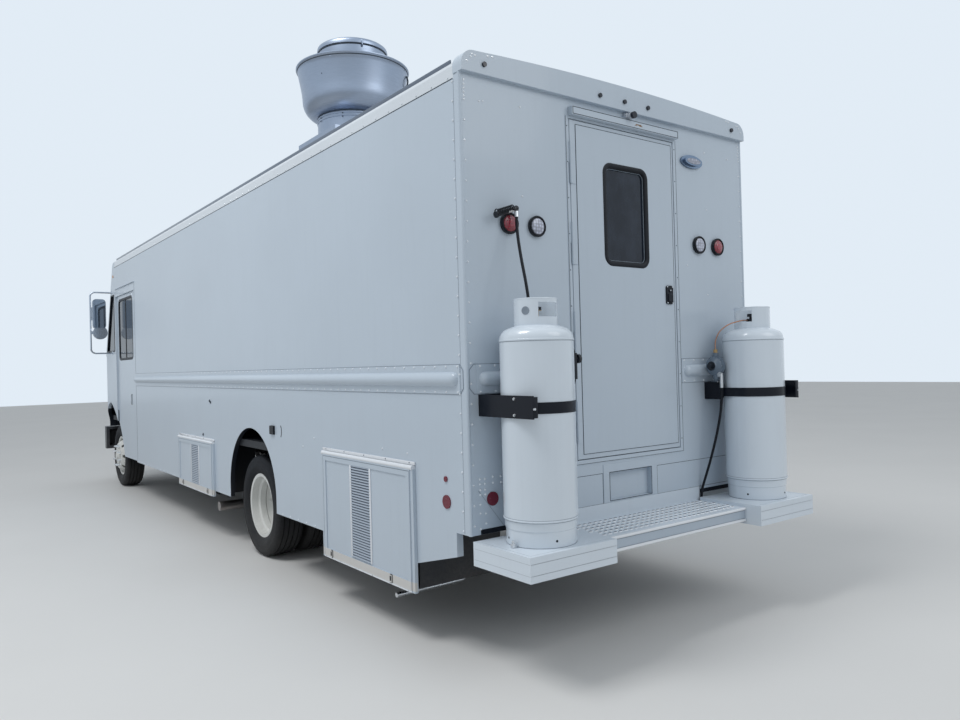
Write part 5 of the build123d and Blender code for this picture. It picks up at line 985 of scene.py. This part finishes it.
def make_grip_ribs():
    """Moulded rings round the rubber grip at the head of the left hose."""
    form = bmesh.new()
    foot = Vector((0.880, REAR_Y + 0.060, 2.370))
    run = Vector((0.128, 0.0, -0.044))
    for step in range(9):
        add_hoop(form, foot + run * (0.20 + 0.085 * step), run.normalized(), 0.0132, 0.0026, 24, 8, 1.3)
    add_hoop(form, foot + run, run.normalized(), 0.0162, 0.0030, 24, 8, 1.2)
    mould("grip_ribs", form, "latch_black")


make_grip_ribs()

# Gas cylinders: hoops round them as (height, radius, thickness, squash), foot ring and collar holes, bolts
BEADS = ((1.662, TANK_RADIUS - 0.0005, 0.0038, 1.4), (0.788, TANK_RADIUS - 0.0005, 0.0036, 1.4),
         (0.762, TANK_RADIUS - 0.0095, 0.0030, 1.2))
SHADOW_LINES = ((1.6555, TANK_RADIUS), (0.7945, TANK_RADIUS), (0.7815, TANK_RADIUS - 0.0018),
                (0.6618, TANK_RADIUS - 0.0095), (1.7175, 0.1085))
CLAMP_SCREW = ((0, 0.006), (0.028, 0.006), (0.028, 0.009), (0.034, 0.009), (0.036, 0))
CLAMP_Z = 0.6605


def by_tank(side, z, degrees=0, radius=0.0):
    return off_line(side * TANK_X, TANK_Y, z, degrees, radius)


def make_cylinder_detail():
    beads, shadows, bands = bmesh.new(), bmesh.new(), bmesh.new()
    for side in SIDES:
        for z, radius, thick, squash in BEADS:
            add_hoop(beads, by_tank(side, z), UPWARD, radius, thick, 96, 8, squash)
        add_hoop(beads, by_tank(side, 1.865), UPWARD, 0.1065, 0.0036, 72, 8)
        for z, radius in SHADOW_LINES:
            add_hoop(shadows, by_tank(side, z), UPWARD, radius - 0.0006, 0.0012, 96, 6)
        add_block(bands, (side * (TANK_X + 0.165), side * (TANK_X + 0.196)), (REAR_Y + 0.418, REAR_Y + 0.4252),
                  (1.290, 1.390))
    mould("cylinder_beads", beads, "cylinder_paint")
    mould("cylinder_shadow_lines", shadows, "fold_shade")
    # Dark discs of painted shade in the foot ring's and the collar's holes.
    for name, finish, z, radius, turns, size in (
            ("foot_ring_holes", "void_dark", 0.694, TANK_RADIUS - 0.0105,
             {1: (74, 164, 254, 344), -1: (16, 103, 196, 283)}, (0.013, 0.0012, 0.9, 12)),
            ("collar_holes", "fold_shade", 1.806, 0.1078, {1: (22,), -1: (158,)}, (0.042, 0.0024, 0.96, 24))):
        places = [(side, turn) for side in SIDES for turn in turns[side]]
        add_heads(name, [by_tank(side, z, turn, radius) for side, turn in places],
                  [around(turn) for _, turn in places], finish, *size, along=UPWARD, slot="cylinder_paint")
    points, ways = [], []
    for side in SIDES:
        points += [(side * (TANK_X + 0.196), REAR_Y + 0.290, z) for z in (1.378, 1.300)]
        points.append((side * (TANK_X + 0.188), REAR_Y + 0.425, 1.333))
        ways += [(side, 0, 0), (side, 0, 0), REARWARD]
    add_heads("band_bolts", points, ways, "bright_metal", 0.016, 0.007, 0.8, 6, along=UPWARD, slot="mirror_chrome")
    mould("band_clamps", bands, "bracket_black")
    form = bmesh.new()
    for side, turn in ((1, 6), (-1, 186)):
        foot = by_tank(side, CLAMP_Z, turn, TANK_RADIUS + 0.012)
        add_block(form, (foot.x - 0.012, foot.x + 0.012), (foot.y - 0.010, foot.y + 0.010), (CLAMP_Z, 0.682))
        add_turned(form, CLAMP_SCREW, foot, UPWARD, 12)
    mould("cylinder_clamps", form, "bright_metal")
    middle = Vector((-0.6958, REAR_Y + 0.100, 1.500))
    points = [middle + 0.0548 * out for out in spokes(LEFTWARD, 8, REARWARD)]
    add_heads("regulator_screws", points, LEFTWARD, "bright_metal", 0.0075, 0.003, 0.8, 6, slot="mirror_chrome")


make_cylinder_detail()

# Step tread: staggered raised grips, brighter as painted highlight, with dark heads of painted shade in their open
# middles, and faint lines of painted shade along the folds of the platforms' edges
GRIP_PITCH = 0.041
GRIP_ROWS = 6
GRIP_ROW_PITCH = 0.050
TREAD_WIDE = 1.18
GRIP_FOOT, GRIP_TOP = 0.640, 0.644
PLATFORM_FOLD_SHADES = (
    *(fold for low, high in ((0.6262, 0.6278), (0.5722, 0.5738)) for fold in (
        ((0.620, 1.181), (0.4590, 0.46), (low, high)), ((1.1838, 1.1843), (0.03, 0.457), (low, high)))),
    ((0.64, 1.16), (0.432, 0.434), (0.6598, 0.6604)),
    ((1.160, 1.162), (0.06, 0.434), (0.6598, 0.6604)),
)


def make_tread():
    spots = [(-TREAD_WIDE / 2 + (line % 2 / 2 + step) * GRIP_PITCH, REAR_Y + 0.045 + line * GRIP_ROW_PITCH)
             for line in range(GRIP_ROWS) for step in range(int(TREAD_WIDE / GRIP_PITCH))]
    # Grips in a brighter white than the tread: painted highlight; the dark heads in their middles are painted shade.
    for name, finish, z, size, stretch in (
            ("tread_grips", "bar_paint", GRIP_FOOT, (0.020, 0.0045, 0.8, 14), 1.55),
            ("tread_holes", "slot_shade", GRIP_TOP, (0.0140, 0.0009, 0.95, 12), 1.7)):
        add_heads(name, [(x, y, z) for x, y in spots], UPWARD, finish, *size, stretch=stretch)
    # Faint lines of painted shade along the platforms' folds.
    form = bmesh.new()
    for side in SIDES:
        for x_span, y_span, z_span in PLATFORM_FOLD_SHADES:
            add_block(form, [side * x for x in x_span], [REAR_Y + y for y in y_span], z_span, 0)
    mould("platform_folds", form, "faint_fold")


make_tread()

# Locker flaps: louvre strips, bars, frame lines, latch cups and rain ledges
FLAPS = (
    ("generator", 0.514, 1.694, 0.283, 0.989, (1.010, 1.265), (0.769, 1.553)),
    ("battery", 4.060, 5.210, 0.388, 0.892, (4.490, 4.743), (4.219, 5.029)),
)
FLAP_FACE = 1.2043
FLAP_FRAME = 1.2103
FOOT_BAR = 1.2122
LEDGE_OUT = 1.1935
HINGE_X = 1.1973
SLAT_PITCH = 0.0168
SLAT_TILT = math.radians(-38)


def add_latch(form, place, u, plate, grip):
    """A latch cup's plate and the grip in it, each (middle height, half width, half height, corner, top, ease)."""
    low = 0.0
    for v, half_wide, half_high, corner, top, ease in (plate, grip):
        add_plate(form, place, centred_loop(u, v, half_wide, half_high, corner), low, top, ease)
        low = 0.003


def make_flap(label, rear, front, foot, head, strip, latches):
    body = label + "_door"
    face, border = on_side(1, FLAP_FACE), on_side(1, FLAP_FRAME)
    low, high = foot + 0.068, head - 0.050
    form = bmesh.new()
    add_plate(form, face, rounded_loop(strip, (low, high), 0.003, 2), 0.0, 0.0008)
    mould(label + "_louvre_back", form, "slot_shade", body=body)
    # Slats in a darker blue-grey than the flap: painted shade, over a backing of painted shade.
    count = int((high - low) / SLAT_PITCH)
    points = [face(sum(strip) / 2, low + (step + 0.5) * (high - low) / count, 0.0035) for step in range(count)]
    mesh = grown(label + "_louvres", SLATS, seeds(points, LEFTWARD, REARWARD), Finish=FINISHES["slat_grey"],
                 Size=(strip[1] - strip[0] - 0.004, 0.0105, 0.0014), Tilt=(SLAT_TILT, 0.0, 0.0))
    keep(label + "_louvres", mesh, "slat_grey", body=body)
    # Frame strips, hinge bar and foot bar in a brighter white than the flap: painted highlight.
    form = bmesh.new()
    for place in strip:
        add_block(form, (FLAP_FACE, FLAP_FACE + 0.0055), between(place - 0.010, place + 0.010), (low, high))
    hinge = on_side(1, HINGE_X)
    add_rod(form, [hinge(u, head - 0.008, 0.0) for u in (rear + 0.004, front - 0.004)], 0.0148, 20)
    add_block(form, (1.2045, FOOT_BAR), between(rear + 0.03, front - 0.03), (foot + 0.0005, foot + 0.0085), 0.001)
    mould(label + "_bars", form, "bar_paint", body=body)
    runs = [(border, ((u, foot + 0.012), (u, head - 0.030)), 0.003, *SEAM) for u in (rear + 0.031, front - 0.031)]
    runs.append((border, ((rear + 0.030, head - 0.026), (front - 0.030, head - 0.026)), 0.004, *SEAM))
    make_lines(label + "_frame_lines", "fold_shade", runs, body)
    form = bmesh.new()
    for place in latches:
        add_latch(form, border, place, (foot + 0.035, 0.014, 0.025, 0.006, 0.003, 0.001),
                  (foot + 0.036, 0.010, 0.016, 0.005, 0.0076, 0.002))
    mould(label + "_latches", form, "latch_black", body)
    # The rain ledge in a brighter white than the wall: painted highlight.
    form = bmesh.new()
    add_block(form, (HALF_WIDTH, LEDGE_OUT), between(rear - 0.004, front + 0.004), (head + 0.0072, head + 0.026), 0.002)
    mould(label + "_ledge", form, "bar_paint")
    for name, x, inset, z, pitch, width, rise, rides in (
            ("_ledge_screws", LEDGE_OUT, 0.05, head + 0.018, 0.27, 0.009, 0.002, "body"),
            ("_foot_screws", FOOT_BAR, 0.06, foot + 0.006, 0.2, 0.006, 0.001, body)):
        place = on_side(1, x)
        add_heads(label + name, row(place(rear + inset, z, 0.0), place(front - inset, z, 0.0), pitch), LEFTWARD,
                  "slot_shade", width, rise, body=rides)


for flap in FLAPS:
    make_flap(*flap)


def make_side_marks():
    """The left wall's shore power inlet with its curved pull, and its single bolts."""
    wall = on_side(1)
    form = bmesh.new()
    add_plate(form, wall, rounded_loop((2.571, 2.653), (1.048, 1.117), 0.008, 4), 0.0, 0.0155, 0.003)
    arc = [(2.462 + 0.022 * out.x, 1.080 + 0.045 * out.y) for out in map(around, range(110, 251, 14))]
    add_lines(form, wall, arc, 0.007, 0.0, 0.002)
    mould("inlet_box_cover", form, "latch_black")
    points = [wall(u, v, 0.0) for u, v in ((4.152, 1.262), (4.180, 1.274), (4.402, 0.945))]
    add_heads("side_bolts", points, LEFTWARD, "seam_dark", 0.024, 0.007, stretch=1.2, slot="bracket_black")


make_side_marks()

# Serving hatch on the right: rivets round its edge, its latches and the seam round it
HATCH_U = (3.105, 5.695)
HATCH_V = (1.637, 2.649)
HATCH_OUT = 1.1983


def make_hatch_trim():
    face = on_side(-1, HATCH_OUT)
    (rear, front), (foot, head) = HATCH_U, HATCH_V
    points = []
    for v in (foot + 0.022, head - 0.035):
        points += row(face(rear + 0.05, v, 0.0), face(front - 0.05, v, 0.0), 0.152)
    for u in (rear + 0.022, front - 0.022):
        points += row(face(u, foot + 0.06, 0.0), face(u, head - 0.08, 0.0), 0.145)
    # Rivets in a brighter white than the hatch: painted highlight.
    add_heads("hatch_rivets", points, (-1, 0, 0), "rivet_paint", 0.011, 0.0035, 0.5, body="serving_hatch")
    form = bmesh.new()
    for place in (3.70, 4.40, 5.10):
        add_latch(form, face, place, (foot + 0.0625, 0.040, 0.0225, 0.008, 0.0035, 0.001),
                  (foot + 0.0625, 0.026, 0.0155, 0.006, 0.0085, 0.002))
    mould("hatch_latches", form, "latch_black", "serving_hatch")
    edge = rectangle((rear - 0.007, front + 0.007), (foot - 0.006, head + 0.006))
    make_lines("hatch_seam", "seam_dark", [(on_side(-1), edge, 0.005, *SEAM)])


make_hatch_trim()

# Cab: door window gaskets, dividers and handle cups, and the rubber round the fixed panes
CAB_WINDOW = ((7.345, 8.130), (1.755, 2.540))
CAB_DOOR_X = 1.167
CAB_BAND = ((-0.012, -0.010), (-0.009, 0.0008), (0.002, 0.0016), (0.016, 0.0016), (0.021, 0.0008), (0.022, 0.0))
CUP_BAND = ((-0.006, -0.002), (-0.005, 0.0016), (0.0, 0.0016), (0.001, 0.0))
SCREEN_BAND = ((-0.014, -0.012), (-0.010, 0.003), (0.004, 0.006), (0.014, 0.003), (0.016, 0))
QUARTER_WINDOW = ((8.335, 1.870), (8.850, 1.870), (8.520, 2.640), (8.335, 2.640))
SCREEN_FOOT = Vector((0, ahead(9.050), 1.810))
SCREEN_HEAD = Vector((0, ahead(8.600), 2.820))


def make_cab_door(side, label):
    place = on_side(side, CAB_DOOR_X)
    form = bmesh.new()
    add_gasket(form, place, rounded_loop(*CAB_WINDOW, 0.055), CAB_BAND)
    divider = (side * (CAB_DOOR_X - 0.010), side * (CAB_DOOR_X - 0.004))
    add_block(form, divider, between(7.735, 7.768), (1.76, 2.535))
    mould(label + "_gasket", form, "gasket_rubber", label)
    form = bmesh.new()
    add_gasket(form, place, rounded_loop((7.424, 7.496), (1.154, 1.286), 0.012, 4), CUP_BAND)
    add_plate(form, place, rounded_loop((7.432, 7.488), (1.162, 1.278), 0.004, 2), -0.0138, -0.0132)
    mould(label + "_handle_cup", form, "latch_black", label)


def make_cab_gaskets():
    """Rubber round the quarter windows and the two windscreen panes."""
    slope = (SCREEN_HEAD - SCREEN_FOOT).normalized()
    outward = Vector(LEFTWARD).cross(slope).normalized()
    middle = (SCREEN_FOOT + SCREEN_HEAD) / 2

    def on_screen(u, v, out):
        return middle + Vector((u, 0, 0)) + slope * v + outward * out

    form = bmesh.new()
    for side in SIDES:
        add_lines(form, on_side(side), closed(QUARTER_WINDOW), 0.018, -0.012, 0.004)
        pane = rounded_loop((side * 0.020, side * 0.960), (-0.440, 0.440), 0.060, 5)
        add_gasket(form, on_screen, pane, SCREEN_BAND)
    mould("cab_window_rubber", form, "gasket_rubber")


for side, hand in HANDS:
    make_cab_door(side, f"{hand}_cab_door")
make_cab_gaskets()

# Wheels: tyres with grooved treads, their section as (across, radius) from the bead out, and nut covers
TYRE_WALL = [(0.083, 0.250), (0.085, 0.262), (0.096, 0.268), (0.106, 0.284), (0.116, 0.304), (0.1205, 0.318),
             (0.1225, 0.332), (0.1215, 0.350), (0.1185, 0.366), (0.1195, 0.370), (0.1165, 0.382), (0.1150, 0.3870),
             (0.1080, 0.4020), (0.1000, 0.4110), (0.0900, 0.4150), (0.0790, 0.4172)]
GROOVES = ((0.0640, 0.0050, 0.012, 0.4182), (0.0220, 0.0055, 0.013, 0.4192))
GROOVE_SLOPE = 0.0015
TYRE_LINING = [(-0.060, 0.262), (0.060, 0.262)]
REAR_AXLE_Y = ahead(3.110)
FRONT_AXLE_Y = ahead(8.400)
NUT_CIRCLE = 0.138


def tyre_outline():
    """The tyre's closed section as (radius, across), with grooves cut in its tread."""
    half = list(TYRE_WALL)
    for middle, half_wide, deep, top in GROOVES:
        half += [(middle + half_wide, top), (middle + half_wide - GROOVE_SLOPE, top - deep),
                 (middle - half_wide + GROOVE_SLOPE, top - deep), (middle - half_wide, top)]
    loop = half + [(-across, radius) for across, radius in reversed(half)] + TYRE_LINING
    return [(radius, across) for across, radius in loop]


def make_tyres(side, body, tyre, middles, spin_y):
    """Grooved tyres in place of a wheel's plain ones."""
    form = bmesh.new()
    for middle in middles:
        add_revolved(form, tyre_outline(), (side * middle, spin_y, WHEEL_Z), LEFTWARD, 96, REARWARD)
    piece = mould(tyre + "_grooved", form, "tyre_rubber", body, 50)
    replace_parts(piece, tyre)


def make_nut_covers(side, body, spin_y, x, tall):
    """Eight tall covers on a wheel's nuts."""
    hub = Vector((side * x, spin_y, WHEEL_Z))
    points = [hub + out * NUT_CIRCLE for out in spokes(LEFTWARD, 16, REARWARD)[1::2]]
    add_heads(body + "_nuts", points, (side, 0, 0), "bright_metal", 0.034, tall, 0.5, 12, along=REARWARD,
              slot="mirror_chrome", body=body)


for side, hand in HANDS:
    make_tyres(side, f"rear_{hand}_wheels", f"rear_{hand}_tyres", (0.7295, 1.0075), REAR_AXLE_Y)
    make_tyres(side, f"front_{hand}_wheel", f"front_{hand}_tyre", (1.0175,), FRONT_AXLE_Y)
for side, hand in HANDS:
    make_nut_covers(side, f"front_{hand}_wheel", FRONT_AXLE_Y, 1.1565, 0.048)
    make_nut_covers(side, f"rear_{hand}_wheels", REAR_AXLE_Y, 0.8795, 0.036)

# Roof fan: outlines as (radius, height), and hoops as (height, radius, thickness, sides, squash)
FAN_X = 0.660
FAN_Y = ahead(2.135)
BOWL = ((0.275, 3.4505), (0.296, 3.4530), (0.318, 3.462), (0.340, 3.478), (0.360, 3.500), (0.374, 3.525),
        (0.382, 3.552), (0.385, 3.580), (0.386, 3.605), (0.389, 3.635), (0.396, 3.680), (0.405, 3.730),
        (0.414, 3.775), (0.4215, 3.808), (0.4270, 3.813), (0.4305, 3.819), (0.4300, 3.825), (0.4255, 3.8265))
BOWL_INSIDE = tuple((radius - 0.0042, height + 0.002) for radius, height in reversed(BOWL[2:-4]))
CAP = ((0.150, 3.766), (0.258, 3.766), (0.261, 3.772), (0.2605, 3.948), (0.2675, 3.954), (0.2680, 3.972),
       (0.264, 3.986), (0.250, 3.9965), (0.220, 4.0), (0.150, 4.0))
# Dark rings of painted shadow under the bowl's rim, under the cap's lip and where the bowl meets its neck.
FAN_SHADOW_RINGS = ((3.8055, 0.4215, 0.0030, 96, 1.4), (3.9475, 0.2615, 0.0034, 72, 1.4), (3.4495, 0.2755, 0.0022, 72, 1.4))
FAN_BANDS = ((3.436, 0.2765, 0.0040, 72, 1.8), (3.412, 0.2760, 0.0034, 72, 1.6))


def by_fan(z, degrees=0, radius=0.0):
    return off_line(FAN_X, FAN_Y, z, degrees, radius)


def make_fan():
    """The spun bowl with its rolled rim, and the cap over its mouth on four struts."""
    form = bmesh.new()
    bowl = BOWL + ((0.418, 3.822),) + BOWL_INSIDE + ((0.302, 3.462), (0.269, 3.4545))
    add_revolved(form, bowl, by_fan(0.0), UPWARD, 128, LEFTWARD)
    add_revolved(form, CAP, by_fan(0.0), UPWARD, 96, LEFTWARD)
    add_turned(form, ((0, 0.152), (0.2335, 0.152), (0.234, 0)), by_fan(3.766), UPWARD, 48)
    for turn in (40, 130, 220, 310):
        add_rod(form, [by_fan(3.800, turn, radius) for radius in (0.255, 0.420)], 0.008, 10)
    add_turned(form, ((0, 0.120), (0.330, 0.120), (0.330, 0)), by_fan(3.452), UPWARD)
    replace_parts(mould("fan_shell", form, "spun_aluminium", sharp=40), "fan_bowl")


def make_fan_detail():
    """The fan's lines of painted shadow under its rim, under its cap's lip and where the bowl meets its neck, neck
    bands with the cap's clip, handle and screws.
    """
    joints, bands, handle = bmesh.new(), bmesh.new(), bmesh.new()
    for form, hoops in ((joints, FAN_SHADOW_RINGS), (bands, FAN_BANDS)):
        for z, radius, thick, sides, squash in hoops:
            add_hoop(form, by_fan(z), UPWARD, radius, thick, sides, 8, squash)
    clip = ((3.930, 0.262), (3.938, 0.272), (3.964, 0.272), (3.974, 0.264))
    add_rod(bands, [by_fan(z, 78, radius) for z, radius in clip], 0.006, 8)
    arc = map(around, range(-90, 91, 15))
    add_rod(handle, [by_fan(3.735 + 0.040 * out.y, 139, 0.407 + 0.018 * out.x) for out in arc], 0.0065, 8)
    mould("fan_shadow_joints", joints, "seam_dark")
    mould("fan_bands", bands, "spun_aluminium")
    mould("fan_handle", handle, "seam_dark")
    screws = [(z, turn, 0.2785) for turn in range(0, 360, 45) for z in (3.428, 3.402)] + [(3.690, 28, 0.397)]
    add_heads("fan_screws", [by_fan(*screw) for screw in screws], [around(turn) for _, turn, _ in screws],
              "seam_dark", 0.010, 0.003, along=UPWARD, slot="spun_aluminium")


make_fan()
make_fan_detail()


def make_mirror_glass():
    """Glass on the rear faces of the flat mirror heads."""
    form = bmesh.new()
    flat_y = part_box("mirrors")[1].y
    loop = rounded_loop((1.275, 1.425), (2.195, 2.585), 0.020, 5)
    for side in SIDES:
        add_plate(form, lambda u, v, out: Vector((side * u, flat_y + out, v)), loop, -0.004, 0.0006)
    mould("mirror_faces", form, "mirror_glass")


make_mirror_glass()

# Driver's seat: crowned vinyl cushion and back on their pedestal
SEAT_X = 0.590
PAD_VOXEL = 0.006
PAD_PRESSURE = 4.0
PAD_FRAMES = 20
PAD_SWELL = 0.010
SEAM_DEPTH = 0.0055


def pad_form(centre, size, turn):
    """A block with pulled-in sides and soft corners, for the cloth to swell."""
    form = bmesh.new()
    bmesh.ops.create_cube(form, size=2.0)
    bmesh.ops.subdivide_edges(form, edges=form.edges[:], cuts=15, use_grid_fill=True)
    for vert in form.verts:
        u, v, w = vert.co
        pull = 1 - 0.14 * abs(w) ** 3
        swell = 1 - 0.30 * (abs(u) ** 4 + abs(v) ** 4) / 2
        flat = Vector((u * pull * (1 - 0.03 * (1 - v * v)), v * pull * (1 - 0.03 * (1 - u * u)), w * swell))
        vert.co = turn @ Vector([value * length / 2 for value, length in zip(flat, size)]) + centre
    return form


def inflated(name, mesh):
    """The pad after cloth with air in it has pressed its cover outwards, no further than the swell."""
    scene = bpy.context.scene
    carrier = placed(name, mesh)
    remesh = carrier.modifiers.new("cover", "REMESH")
    remesh.mode = "VOXEL"
    remesh.voxel_size = PAD_VOXEL
    cover = shown(carrier)
    carrier.modifiers.clear()
    carrier.data = cover
    rest = [vert.co.copy() for vert in cover.vertices]
    cloth = carrier.modifiers.new("cloth", "CLOTH")
    cloth.settings.use_pressure = True
    cloth.settings.uniform_pressure_force = PAD_PRESSURE
    cloth.settings.effector_weights.gravity = 0.0
    cloth.point_cache.frame_start = 1
    cloth.point_cache.frame_end = PAD_FRAMES
    for step in range(1, PAD_FRAMES + 1):
        scene.frame_set(step)
    pad = shown(carrier)
    for vert, start in zip(pad.vertices, rest):
        move = vert.co - start
        if move.length > PAD_SWELL:
            vert.co = start + move.normalized() * PAD_SWELL
    scene.frame_set(1)
    bpy.data.objects.remove(carrier)
    return pad


def held(value):
    return min(max(value, 0.0), 1.0)


def make_pad(name, centre, size, lean, channels):
    """A padded vinyl piece: swollen, then sewn across in channels and round its edge."""
    centre = Vector(centre)
    turn = Matrix.Rotation(lean, 3, "X")
    mesh = inflated(name, close_up(name, pad_form(centre, size, turn), 80))
    face_way, up_way = turn @ Vector(UPWARD), turn @ Vector(REARWARD)
    for vert in mesh.vertices:
        place = vert.co - centre
        share = held(place.dot(up_way) / size[1] + 0.5)
        faces_out = held(place.dot(face_way) / size[2] * 4 - 0.9)
        rim = held(3.2 * (0.5 - abs(place.x / size[0])))
        seam = math.exp(-22 * math.sin(math.pi * channels * share) ** 2)
        vert.co -= face_way * (SEAM_DEPTH * seam * faces_out * rim)
    for face in mesh.polygons:
        face.use_smooth = True
    pad = keep(name, mesh, "seat_vinyl")
    return pad


def make_seat():
    cushion = make_pad("seat_cushion", (SEAT_X, ahead(7.570), 1.350), (0.476, 0.456, 0.100), 0.0, 5)
    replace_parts(cushion, "driver_seat")
    make_pad("seat_back", (SEAT_X, ahead(7.340), 1.700), (0.470, 0.640, 0.086), math.radians(81.8), 6)
    form = bmesh.new()
    add_block(form, (SEAT_X - 0.140, SEAT_X + 0.140), between(7.390, 7.730), (0.9635, 1.290), 0.012)
    add_block(form, (SEAT_X - 0.200, SEAT_X + 0.200), between(7.360, 7.780), (1.270, 1.296), 0.006)
    for x in (SEAT_X - 0.15, SEAT_X + 0.15):
        add_rod(form, [(x, ahead(d), z) for d, z in ((7.40, 1.29), (7.345, 1.36), (7.33, 1.52))], 0.012, 10)
    mould("seat_pedestal", form, "frame_black")


make_seat()

# Stage: a pale floor, a pale surround and soft lamps
FLOOR_HALF = 40.0
FLOOR_COLOUR = (0.68, 0.68, 0.67)
SKY_COLOUR = (0.76, 0.84, 0.92)
LIGHT_COLOUR = (0.90, 0.95, 1.0)
LIGHT_STRENGTH = 0.55


def make_stage():
    mesh = bpy.data.meshes.new("floor_slab")
    corners = [(x * FLOOR_HALF, y * FLOOR_HALF, 0.0) for x, y in ((-1, -1), (1, -1), (1, 1), (-1, 1))]
    mesh.from_pydata(corners, [], [(0, 1, 2, 3)])
    tree, shader = start_material("floor_paint", 0.7)
    cloud = ramp(tree, noise(tree, place_of(tree), 0.6), 0.3, 0.7)
    feed(tree, shader, {"Base Color": blend_colour(tree, cloud, FLOOR_COLOUR, shade(FLOOR_COLOUR, 0.97))})
    mesh.materials.append(FINISHES["floor_paint"])
    placed("floor_slab", mesh)
    world = bpy.data.worlds.new("surround")
    bpy.context.scene.world = world
    world.use_nodes = True
    tree = world.node_tree
    light = feed(tree, tree.nodes["Background"], {"Color": (*LIGHT_COLOUR, 1), "Strength": LIGHT_STRENGTH})
    seen = add_node(tree, "ShaderNodeBackground", {"Color": (*SKY_COLOUR, 1), "Strength": 1.0})
    rays = tree.nodes.new("ShaderNodeLightPath").outputs
    direct = maths(tree, "ADD", rays["Is Camera Ray"], rays["Is Glossy Ray"], clamp=True)
    clear = maths(tree, "ADD", direct, rays["Is Transmission Ray"], clamp=True)
    choice = add_node(tree, "ShaderNodeMixShader", {0: clear, 1: light.outputs[0], 2: seen.outputs[0]})
    feed(tree, tree.nodes["World Output"], {"Surface": choice.outputs[0]})


def soft_lamp(name, place, aim, size, power):
    data = bpy.data.lights.new(name, "AREA")
    data.size = size
    data.energy = power
    way = Vector(aim) - Vector(place)
    turn = way.to_track_quat("-Z", "Y").to_matrix().to_4x4()
    placed(name, data).matrix_world = Matrix.Translation(place) @ turn


make_stage()
soft_lamp("key_lamp", (6.0, 3.0, 11.0), (0.0, 1.0, 1.2), 4.0, 590.0)
soft_lamp("rear_lamp", (-3.0, 12.0, 8.0), (0.0, 3.0, 1.4), 6.0, 215.0)

bpy.context.scene.view_settings.view_transform = "Standard"
